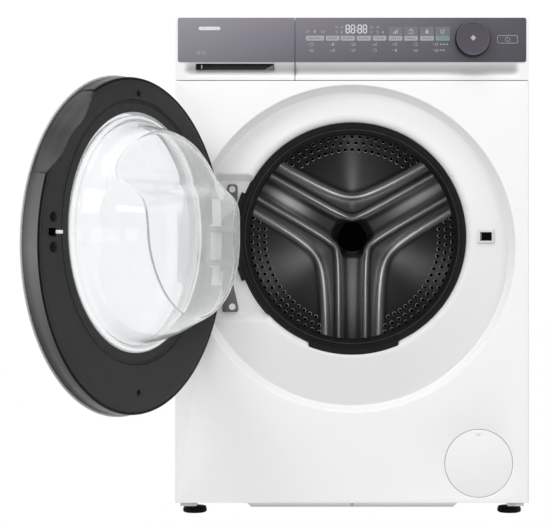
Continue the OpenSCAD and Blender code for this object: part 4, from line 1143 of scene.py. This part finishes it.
def make_door_trim():
    """Silver ring around the door, open at the hinge's knuckle."""
    e = TRIM
    shape = Shape()
    shape.turn([(212, e - 10), (214, e - 10.1), (232, e - 9.5), (243, e - 8.6), (250, e - 7.5),
                (256.5, e - 5.7), (262, e - 3.5), (265.6, e - 1.9), (267.4, e - 0.8), (DOOR_R, e),
                (267.8, e + 0.8), (266.9, e + 1.2), (264.2, e + 1.2)], 0, DOOR_Z, 360)
    shape.turn([(264.2, e + 1.2), (259.5, e - 0.8), (249, e - 4.5), (232, e - 6.5), (216, e - 6.8),
                (216, e - 4), (212, e - 4), (212, e - 10)], 0, DOOR_Z, 360)

    def at_knuckle(face):
        x, y, z = centre(shape.points, face)
        return math.hypot(x - HINGE[0], y - HINGE[1]) < 12.5 and abs(z - HINGE_MID) < 62

    shape.faces = [f for f in shape.faces if not at_knuckle(f)]
    shape.kinds = [0] * len(shape.faces)
    open_door(shape).piece("door_outer_ring", DOOR_SILVER, "door", "door_silver", ["door_trim"], 35)


def make_door_window():
    """Clear pane with its border."""
    e = TRIM
    shape = Shape()
    shape.turn([(0.01, e - 6), (120, e - 7), (176, e - 8.2)], 0, DOOR_Z, 240)
    shape.turn([(176, e - 8.2), (211.4, e - 9.3), (211.8, e - 9.1), (211.8, e - 6.2), (211, e - 5.9),
                (176, e - 5)], 0, DOOR_Z, 240, 1)
    shape.turn([(176, e - 5), (120, e - 3.8), (0.01, e - 2.8)], 0, DOOR_Z, 240)
    open_door(shape).piece("door_pane", [WINDOW, WINDOW_EDGE], "door", "window_tint", ["door_window"], 40)


BOWL_Z = PORT_Z - 2
# the bowl's side wall as (radius, height), and its slanted front as (place up the bowl, height)
WALL = [(0, 150), (112, 124), (124, 118), (130, 113), (133.5, 108), (137, 101.5), (143, 89), (150, 74),
        (155.5, 63), (161, 50), (165.5, 37), (169, 25), (171.8, 13), (174, 5.5), (175.5, 3.6)]
CAP = [(-150, 112.5), (-80, 110), (-28, 107), (-16, 106.5), (12, 105.5), (40, 100.5), (54, 92), (66, 74),
       (80, 53), (92, 47.5), (100, 45.5), (112, 44.5), (170, 44)]


def resample(knots, count, rounds):
    """A polyline's points spread evenly along its length and rounded off."""
    pts = np.array(knots, float)
    lengths = np.concatenate([[0], np.cumsum(np.hypot(*np.diff(pts, axis=0).T))])
    s = np.linspace(0, lengths[-1], count)
    x, y = np.interp(s, lengths, pts[:, 0]), np.interp(s, lengths, pts[:, 1])
    for _ in range(rounds):
        x[1:-1] = (x[:-2] + 2 * x[1:-1] + x[2:]) / 4
        y[1:-1] = (y[:-2] + 2 * y[1:-1] + y[2:]) / 4
    return x, y


WALL_R, WALL_H = resample(WALL, 240, 12)
CAP_Z, CAP_H = resample(CAP, 240, 60)


def cap_height(x, z):
    """The bowl's front: flat below, sloping back above the middle, with a shelf at the top."""
    tilt = 0.092 * smooth(z / 90) * (x - 126)
    return float(np.interp(z, CAP_Z, CAP_H)) - tilt


def bowl_surface(inset, segments=240, cap_rows=44, wall_rows=56):
    """Rows of points from the middle outwards; inset moves the surface inwards."""
    rows = [[] for _ in range(cap_rows + wall_rows + 1)]
    wall_r = WALL_R - inset * 0.93
    end = float(wall_r[-1])
    for i in range(segments):
        t = 2 * math.pi * i / segments
        c, s = math.cos(t), math.sin(t)
        low, high = 60.0, end
        for _ in range(30):
            mid = (low + high) / 2
            wall = float(np.interp(mid, wall_r, WALL_H)) - inset * 0.35
            if wall > cap_height(mid * c, mid * s) - inset:
                low = mid
            else:
                high = mid
        line = []
        for k in range(cap_rows + 1):
            u = k / cap_rows
            r = max(0.01, low * (1 - (1 - u) ** 1.5))
            line.append([r, cap_height(r * c, r * s) - inset])
        for k in range(1, wall_rows + 1):
            u = (k / wall_rows) ** 1.35
            r = low + (end - low) * u
            line.append([r, float(np.interp(r, wall_r, WALL_H)) - inset * 0.35])
        arr = np.array(line)
        near = slice(cap_rows - 7, cap_rows + 9)
        for _ in range(14):
            sub = arr[near].copy()
            sub[1:-1] = (sub[:-2] + 2 * sub[1:-1] + sub[2:]) / 4
            arr[near] = sub
        for row, (r, h) in zip(rows, arr.tolist()):
            row.append((r * c, FACE + h, BOWL_Z + r * s))
    return rows


def make_bowl():
    """One closed glass skin: outer face, flange with its bead, inner face."""
    shape = Shape()
    outer, inner = bowl_surface(0), bowl_surface(4.6)
    n = len(outer[0])

    turns = [2 * math.pi * i / n for i in range(n)]
    profile = [(176.4, 3.4), (177.5, 3.2), (178.2, 4.2), (179.4, 4.4), (180, 3.2), (181.5, 2.9), (182.2, 2.2),
               (184, 1.9), (184.6, 1.2), (184.8, 0.2), (184.8, -5.4), (184.3, -6), (176.2, -6), (175.6, -5),
               (171.6, 2)]
    rim = [[(r * math.cos(a), FACE + h, BOWL_Z + r * math.sin(a)) for a in turns] for r, h in profile]
    rows = outer + rim + inner[::-1]
    shape.add([p for row in rows for p in row], ring_faces(len(rows), n))
    open_door(shape).piece("door_bowl", BOWL, "door", "bowl_glass", ["door_glass"], 60)


# ---------- hinge and lock ----------


def make_hinge():
    """Bracket in the pocket: a plate with a triangular tab at each end, and the open arm."""
    finish_node(["hinge_leaves", "hinge_pin"], HINGE_METAL)
    low, high = span("hinge_bracket")
    y0, y1 = FRONT + POCKET_D - 3.2, FRONT + POCKET_D - 0.2
    plate = Shape()
    top, bottom = high[2], low[2]
    outline = [(-222, bottom + 2), (-220.5, bottom), (-197.5, bottom), (-195, bottom + 2.5),
               (-195, bottom + 9), (-203, bottom + 44), (-204.5, bottom + 60), (-204.5, top - 60),
               (-203, top - 44), (-196.5, top - 26), (-196, top - 4), (-199, top - 0.5), (-210, top),
               (-213, top - 2.5), (-222, top - 40)]
    plate.prism(outline, y0, y1)
    soften(plate.piece("hinge_plate", HINGE_METAL, "cabinet", "hinge_metal", ["hinge_bracket"]), 0.8)
    arm = Shape()
    flange = [(-8.2, 0), (-5.8, 5.8), (22.6, 40.8), (55, 40.8), (33.4, 21.4), (5.8, -5.8), (0, -8.2),
              (-5.8, -5.8)]
    n = len(flange)
    for heights in ((424.4, 434.6), (482.4, 492.6)):
        arm.add([(HINGE[0] + a, HINGE[1] + b, z) for z in heights for a, b in flange],
                ring_faces(2, n) + end_faces(n))
    soften(arm.piece("hinge_arm", HINGE_METAL, "cabinet", "hinge_metal"), 0.8)
    web = Shape()
    web.box((-216, y0 - 2, 436), (-204, y0 + 1, 481))
    web.piece("hinge_web", HINGE_METAL, "cabinet", "hinge_metal")
    screws = Shape()
    for x, z in ((-205, bottom + 9), (-205, top - 9)):
        screws.turn([(0.01, y0 - 1.6), (2, y0 - 1.6), (2.4, y0 - 2.8), (4.4, y0 - 2.6), (5.4, y0 - 1.4),
                     (5.4, y0 + 0.4)], x, z, 28)
    screws.piece("hinge_screw_heads", STEEL, "cabinet", "bright_steel")


def make_lock():
    """Strike plate with a dark slot and a lighter lip at its left side."""
    face = FRONT + RECESS_D - 1.9
    x0, x1, z0, z1 = 218.2, 238.4, LOCK_Z - 7.4, LOCK_Z + 7.4
    shape = Shape()
    outline = rounded_outline(lock_low[0] + 0.3, 241.8, LOCK_Z - 11, LOCK_Z + 11, 1.6, 4)
    hole = [(x0, z0), (x1, z0), (x1, z1), (x0, z1)]
    shape.add(*fill_with_holes(outline, [hole], face - 0.6))
    shape.walls(outline, face - 0.6, face + 2)
    shape.walls(hole, face - 0.6, face + 13, 1)
    shape.add([(x, face + 13, z) for x, z in hole], [(0, 1, 2, 3)], 2)
    shape.box((x0 + 0.1, face + 0.6, z0 + 2), (x0 + 2.6, face + 2.4, z1 - 2), 3)
    plate = shape.piece("lock_strike_plate", [LIGHT_GREY, BLACK, BLACK, GREY], "cabinet", "grey_plastic")
    soften(plate, 0.3, 2, 60)
    finish_node(["door_lock"], GREY)


# ---------- seal, tub and drum ----------

def make_seal():
    """Bellows seal: outer bead on the porthole's edge, lip with a painted highlight line, folds back to the
    tub.
    """
    y = FRONT + PORT_D
    shape = Shape()
    profile = [(198, y + 4.5), (198, y + 1.6), (195.4, y + 0.2), (194.6, y - 2), (194.4, y - 4.8),
               (193.4, y - 6), (190.5, y - 6.1), (188.5, y - 5.6), (187.4, y - 4.4), (186.2, y - 4.2),
               (185, y - 4.8),
               (183.6, y - 4.9), (181.8, y - 3.6), (179.6, y - 1), (176.6, y + 1.6), (174.8, y + 4.6),
               (174.5, y + 7.6), (175.8, y + 10), (180.5, y + 12.2), (184, y + 14), (185, y + 17),
               (183, y + 21), (184.6, y + 25), (189, y + 28), (196, y + 30.5), (201, y + 31)]
    dense = []
    for a, b in zip(profile, profile[1:]):
        for k in range(3):
            dense.append((a[0] + (b[0] - a[0]) * k / 3, a[1] + (b[1] - a[1]) * k / 3))
    dense.append(profile[-1])
    arr = np.array(dense)
    for _ in range(2):
        arr[1:-1] = (arr[:-2] + 2 * arr[1:-1] + arr[2:]) / 4
    shape.turn([tuple(p) for p in arr.tolist()], 0, PORT_Z, 288)
    # mounting tabs: a wide one along the left, a shallow one at the bottom
    shape.prism(arc(0, PORT_Z, 203.6, 158, 202, 24) + arc(0, PORT_Z, 193, 202, 158, 24), y - 5.2, y - 2)
    shape.prism(arc(0, PORT_Z, 201.6, 248.5, 293, 24) + arc(0, PORT_Z, 192, 294.5, 247, 24), y - 13.4, y - 3)
    # a lighter rubber line along the lip: a painted highlight
    shape.turn([(182.2, y - 4.9), (182.7, y - 5.5), (183.3, y - 5.6), (183.8, y - 4.9)],
               0, PORT_Z, 288, 1)
    seal = shape.piece("bellows_seal", [SEAL, SEAL_LIP_HIGHLIGHT], None, "seal_rubber", ["door_seal"], 50)
    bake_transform(seal)


def turned_away(theta, angle):
    """Degrees between two directions."""
    return abs((theta - angle + 180) % 360 - 180)


def sector_of(x, z):
    """Polar angle, nearest sector's centre line, and the point's place across and along it."""
    r = math.hypot(x, z - DRUM_Z)
    theta = math.degrees(math.atan2(z - DRUM_Z, x))
    sector = min(SECTORS, key=lambda c: turned_away(theta, c))
    d = math.radians(theta - sector)
    return r, theta, r * math.sin(d), r * math.cos(d)


def rib_distances(p, q):
    """Distances to the outer and the inner rib, which are hyperbolas about the sector's centre line."""
    steep = 0.577       # the tangent of 30 degrees
    distances = []
    for start, bend in ((79, 40), (39, 17)):
        reach = math.hypot(p, bend)
        distances.append((q - (start + steep * (reach - bend))) / math.hypot(1, steep * abs(p) / reach))
    return distances


def bell(v, half):
    return math.exp(-(v / half) ** 2)


def wall_height(x, z):
    """Height of the drum back's stamped ribs above its dished sectors, towards the front."""
    r, _, p, q = sector_of(x, z)
    d_out, d_in = rib_distances(p, q)
    height = 2.6 * bell(d_out, 8) + 2.2 * bell(d_in, 6.5)
    if d_in > 0 and d_out < 0:
        height -= 1.1 * smooth(min(d_in, -d_out) / 9)
    if d_in <= 0:
        height += 2.2 * smooth((-d_in - 5) / 16) - 0.8 * smooth(-d_in / 6)
    fade = smooth((224 - r) / 14)
    return max(height * fade, -2) + 3 * smooth((44 - r) / 16) + 4.5 * smooth((r - 208) / 14)


# painted highlight streaks of the sectors as (angle, width, level), and of the arms as angle: (radius, reach,
# level)
SHEEN = [(90, 5.5, 0.16), (84, 20, 0.06), (203, 13, 0.16), (338, 13, 0.15), (185, 30, 0.03)]
ARM_GLOW = {30: (165, 62, 0.7), 150: (148, 38, 0.95), 270: (120, 90, 0.21)}


def wall_painted_light(x, z):
    """Painted light on the polished steel: painted highlights on ribs and arm bulges, dark painted reflection
    in the sectors with a painted streak, darker towards the hub.
    """
    r, theta, p, q = sector_of(x, z)
    d_out, d_in = rib_distances(p, q)
    tone = 0.045
    for angle, width, level in SHEEN:
        tone += (level * bell(turned_away(theta, angle), width) * smooth((r - 40) / 50)
                 * (1 if d_out > 0 else 1.1))
    side = smooth(abs(p) / 40)
    tone = max(tone, (0.55 + 0.45 * side) * bell(d_out + 1, 7.6),
               (0.5 + 0.4 * side) * bell(d_in, 5.4))
    if d_out < 0 < d_in:
        tone = max(tone, 0.07 + 0.1 * bell(d_out + 6, 7))
    if d_in <= 0:
        arm = min(ARMS, key=lambda c: turned_away(theta, c))
        across = r * math.sin(math.radians(theta - arm))
        along, reach, level = ARM_GLOW[arm]
        glow = level * bell(across - 2, 13) * bell(r - along, reach)
        tone = max(tone, 0.05 + glow)
    return tone * smooth((r - 24) / 22) + 0.004


def back_holes():
    holes = []
    for sector in SECTORS:
        for radius, half in ((170, 35.5), (183.5, 39.5), (195.5, 41)):
            count = int(2 * half / 4.4) + 1
            for k in range(count):
                a = math.radians(sector - half + 2 * half * k / (count - 1))
                holes.append((radius * math.cos(a), DRUM_Z + radius * math.sin(a)))
    return holes


def make_drum_back():
    """Stamped back wall: three dished sectors between ribs, rings of holes."""
    shape = Shape()
    segments, rows = 540, 130
    top = DRUM_BACK - 0.3
    pts = []
    for k in range(rows + 1):
        r = 24 + (244 - 24) * k / rows
        for i in range(segments):
            a = 2 * math.pi * i / segments
            x, z = r * math.cos(a), DRUM_Z + r * math.sin(a)
            pts.append((x, top - wall_height(x, z), z))
    shape.add(pts, ring_faces(rows + 1, segments))
    painted_light_levels = [wall_painted_light(x, z) for x, _, z in pts]
    wall = shape.piece("drum_back_wall", DRUM_WALL_PAINTED, "drum", "drum_steel", ["drum_back"], 80)
    layer = wall.data.attributes.new("sheen", "FLOAT", "POINT")
    layer.data.foreach_set("value", painted_light_levels)
    # holes: dark discs of painted shadow with a raised rim of lighter steel, a painted highlight
    rims = Shape()
    for x, z in back_holes():
        y = top - wall_height(x, z)
        rims.turn([(4.3, y - 0.1), (3.8, y - 0.8), (3.1, y - 0.85), (2.7, y - 0.3)], x, z, 16, 0)
        rims.turn([(2.75, y - 0.35), (0.01, y - 0.3)], x, z, 16, 1)
    rims.piece("drum_back_holes", [HOLE_RIM_HIGHLIGHT, HOLE_SHADOW], "drum", "drum_steel", (), 50)
    # the hub cap takes the same black as the hole shadows: painted shade
    hub = Shape()
    y = top - 3
    hub.turn([(0.01, y - 6.5), (9, y - 6.5), (11, y - 5.8), (12, y - 4.4), (20, y - 3.9), (25, y - 3),
              (28.5, y - 1), (29.5, y + 2), (29.5, y + 7)], 0, DRUM_Z, 96)
    hub.piece("drum_hub_cap", HOLE_SHADOW, "drum", "drum_steel")


def make_drum_shell():
    """Perforated barrel with its rolled front ring, and three lifters."""
    low, high = span("drum_shell")
    shape = Shape()
    r = (high[0] - low[0]) / 2 - 0.6
    y0, y1 = low[1], high[1]
    front_ring = [(206, y0 + 3), (207, y0 + 1), (210, y0 + 0.2), (230, y0 + 0.6), (240, y0 + 2.4),
                  (r - 1, y0 + 9), (r, y0 + 14)]
    barrel = [(r, y0 + 14 + (y1 - y0 - 16) * k / 40) for k in range(41)]
    shape.turn(front_ring + barrel, 0, DRUM_Z, 240)
    solidify(shape.piece("drum_barrel", DRUM, "drum", "drum_steel", ["drum_shell"], 40), 0.8, 0)
    # the barrel's holes are black discs laid on its wall: painted shadow in place of openings
    dots = Shape()
    n_round, n_deep = 60, 12
    for j in range(n_deep):
        y = y0 + 36 + (y1 - y0 - 76) * j / (n_deep - 1)
        for i in range(n_round):
            a = 2 * math.pi * (i + 0.5 * (j % 2)) / n_round
            if abs((math.degrees(a) - 30 + 60) % 120 - 60) < 10:
                continue
            c, s = math.cos(a), math.sin(a)
            ring = []
            for m in range(10):
                b = 2 * math.pi * m / 10
                u, v = 2.1 * math.cos(b), 2.1 * math.sin(b)
                rr = r - 0.75
                ring.append((rr * c - u * s, y + v, DRUM_Z + rr * s + u * c))
            dots.add(ring, [tuple(range(10))])
    dots.piece("drum_barrel_holes", HOLE_SHADOW, "drum", "drum_steel", (), 40)
    low, high = span("drum_lifters")
    lift = Shape()
    stations = 26
    for a in ARMS:
        pts = []
        for k in range(stations + 1):
            t = k / stations
            y = low[1] + 6 + (high[1] - low[1] - 12) * t
            end = math.sqrt(max(0, 1 - (2 * t - 1) ** 6))
            for m in range(17):
                u = -26 + 52 * m / 16
                h = 41 * end * math.exp(-(abs(u) / 15.5) ** 2.6)
                rr = math.sqrt((r - 1.2) ** 2 - u * u) - h
                c, s = math.cos(math.radians(a)), math.sin(math.radians(a))
                pts.append((rr * c - u * s, y, DRUM_Z + rr * s + u * c))
        lift.add(pts, grid_faces(stations + 1, 17))
    lift.piece("drum_lifter_skins", DRUM, "drum", "drum_steel", ["drum_lifters"], 60)


# ---------- feet, rear and small fittings ----------

def make_feet():
    """Knurled rubber feet on threaded rods, and the corner plates they screw into."""
    nodes = ["foot_%s_%s" % (end, side) for end in ("front", "rear") for side in ("left", "right")]
    for number, node in enumerate(nodes, 1):
        low, high = span(node)
        x, y = (low[0] + high[0]) / 2, (low[1] + high[1]) / 2
        r = (high[0] - low[0]) / 2
        shape = Shape()
        shape.turn_z([(0.01, 0), (r - 2.5, 0), (r - 1, 0.6), (r - 0.3, 2), (r, 4), (r, 9.4),
                      (r - 0.6, 10.6), (r - 2.4, 11.2), (9, 11.8), (0.01, 11.8)], x, y, 64, 0)
        for k in range(16):
            a = 2 * math.pi * k / 16
            c, s = math.cos(a), math.sin(a)
            shape.turn_z([(1.3, 1.6), (1.3, 7.6)], x + (r - 0.3) * c, y + (r - 0.3) * s, 8, 0)
        thread = []
        z = 12
        while z < high[2] - 1:
            thread += [(4.6, z), (5.2, z + 0.6)]
            z += 1.2
        shape.turn_z([(5.2, 10)] + thread + [(4.2, high[2]), (0.01, high[2])], x, y, 36, 1)
        body = "foot_%d" % number
        shape.piece(body, [BLACK, STEEL], body, "black_rubber", [node], 40)
    finish_node(["lock_nuts"], GREY)
    plates = Shape()
    for node, side in (("foot_front_left", -1), ("foot_front_right", 1)):
        low, high = span(node)
        x, y = (low[0] + high[0]) / 2, (low[1] + high[1]) / 2
        x0, x1 = sorted((x + 19 * side, x - 8 * side))
        plates.box((x0, y - 70, 18.6), (x1, y - 16, 24.6))
    soften(plates.piece("foot_corner_plates", ZINC, "cabinet", "grey_plastic"), 0.6)


def bend_to_tub(name, new_name, mat, slot):
    """A flexible CAD part copied into a new piece that is left on no body."""
    node = frame["nodes"][name]
    shape = Shape()
    shape.add([tuple((node.matrix_world @ v.co) / MM) for v in node.data.vertices],
              [tuple(face.vertices) for face in node.data.polygons])
    piece = shape.piece(new_name, mat, None, slot, [name], 40)
    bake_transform(piece)


def make_flexible_parts():
    bend_to_tub("fill_hose", "fill_bellows", HOSE, "seal_rubber")
    bend_to_tub("sump_hose", "sump_bellows", HOSE, "seal_rubber")
    bend_to_tub("suspension_springs", "springs", STEEL, "bright_steel")


def finish_fittings():
    finish_node(["inlet_valve", "transit_caps"], WHITE_PLASTIC)
    finish_node(["drain_outlet", "drain_pump", "base_tray", "filter_cap", "damper_cylinders"], GREY)
    finish_node(["mains_gland"], BLACK)
    finish_node(["panel_screws"], STEEL)


def finish_inside():
    finish_node(["top_braces"], ZINC)
    finish_node(["control_board"], BOARD)
    finish_node(["drawer_tray", "dispenser_housing", "tub_front", "tub_rear"], TUB)
    finish_node(["counterweight_front", "counterweight_top"], CONCRETE)
    finish_node(["heater", "bearings", "drum_shaft", "damper_rods"], STEEL)
    finish_node(["drum_spider", "drum_pulley"], CAST)
    finish_node(["motor_housing", "motor_rotor"], MOTOR)
    finish_node(["drive_belt"], HOSE)


# ---------- build ----------

make_front_panel()
make_hatch()
make_apron()
make_side_panels()
make_back_panel()
make_worktop()
make_console()
make_fascia_marks()
make_dial()
make_power_key()
make_door_frame()
make_door_details()
make_door_trim()
make_door_window()
make_bowl()
make_hinge()
make_lock()
make_seal()
make_drum_back()
make_drum_shell()
make_feet()
finish_fittings()
finish_inside()
make_flexible_parts()

# ---------- camera, light and floor ----------

camera = bpy.data.cameras.new("view")
camera.sensor_width = 36
camera.lens = 120.86
camera.shift_x = -0.1424
camera.shift_y = 0.0319
camera_obj = bpy.data.objects.new("view", camera)
camera_obj.location = (0, -3.387, 0.4018)
camera_obj.rotation_euler = (math.radians(90), 0, 0)
bpy.context.scene.collection.objects.link(camera_obj)
bpy.context.scene.camera = camera_obj


def area_light(name, place, target, size, power):
    light = bpy.data.lights.new(name, "AREA")
    light.shape = "RECTANGLE"
    light.size, light.size_y = size
    light.energy = power
    obj = bpy.data.objects.new(name, light)
    obj.location = place
    direction = Vector(target) - Vector(place)
    obj.rotation_euler = direction.to_track_quat("-Z", "Y").to_euler()
    obj.visible_glossy = name == "upper_ring"
    bpy.context.scene.collection.objects.link(obj)


area_light("key_left", (-2.3, -2.9, 2.3), (0, 0, 0.5), (1.5, 1.5), 39)
area_light("key_right", (2.2, -3.4, 1.2), (0, 0, 0.45), (0.8, 1.6), 15)
area_light("overhead", (0, -1.2, 3.0), (0, 0, 0.5), (2.4, 1.4), 37)
area_light("fill_low", (-1.3, -3.3, 0.35), (-0.1, 0, 0.25), (1.2, 0.8), 6)
area_light("upper_ring", (-0.5, -3.3, 1.75), (0, 0.2, 0.48), (0.9, 0.35), 3)


def studio_world():
    """A room that is white behind the machine and grey in front of it, and all white to the camera."""
    made = bpy.data.worlds.new("studio")
    made.use_nodes = True
    nodes, link = made.node_tree.nodes, made.node_tree.links.new
    room = nodes["Background"]
    parts = nodes.new("ShaderNodeSeparateXYZ")
    link(nodes.new("ShaderNodeTexCoord").outputs["Generated"], parts.inputs["Vector"])
    half = nodes.new("ShaderNodeMapRange")
    half.inputs["From Min"].default_value = -1
    link(parts.outputs["Y"], half.inputs["Value"])
    ramp = nodes.new("ShaderNodeValToRGB")
    band = ramp.color_ramp.elements
    stops = [(0.0, 0.66), (0.05, 0.64), (0.12, 0.58), (0.5, 0.62), (0.9, 0.7), (0.965, 1.0)]
    for end in (0, -1):
        band[end].position = stops[end][0]
        band[end].color = (*[stops[end][1]] * 3, 1)
    for position, level in stops[1:-1]:
        band.new(position).color = (level, level, level, 1)
    link(half.outputs["Result"], ramp.inputs["Fac"])
    link(ramp.outputs["Color"], room.inputs["Color"])
    white = nodes.new("ShaderNodeBackground")
    white.inputs["Color"].default_value = (1, 1, 1, 1)
    for light in (room, white):
        light.inputs["Strength"].default_value = 1.02
    mixed = nodes.new("ShaderNodeMixShader")
    link(nodes.new("ShaderNodeLightPath").outputs["Is Camera Ray"], mixed.inputs["Fac"])
    link(room.outputs["Background"], mixed.inputs[1])
    link(white.outputs["Background"], mixed.inputs[2])
    link(mixed.outputs["Shader"], nodes["World Output"].inputs["Surface"])
    bpy.context.scene.world = made


studio_world()
bpy.context.scene.view_settings.view_transform = "Standard"

bpy.ops.mesh.primitive_plane_add(size=30, location=(0, 0, 0))
floor = bpy.context.object
floor.name = "studio_floor"
floor_mat = Mat("floor_white", (0.62, 0.62, 0.62), 0.8)
glow = floor_mat.node("ShaderNodeEmission")
path = floor_mat.node("ShaderNodeLightPath")
lit = floor_mat.node("ShaderNodeMixShader")
floor_mat.link(path.outputs["Is Diffuse Ray"], lit.inputs["Fac"])
floor_mat.link(glow.outputs["Emission"], lit.inputs[1])
floor_mat.link(floor_mat.shader.outputs["BSDF"], lit.inputs[2])
floor_mat.link(lit.outputs["Shader"], floor_mat.tree.nodes["Material Output"].inputs["Surface"])
floor.data.materials.append(floor_mat.mat)
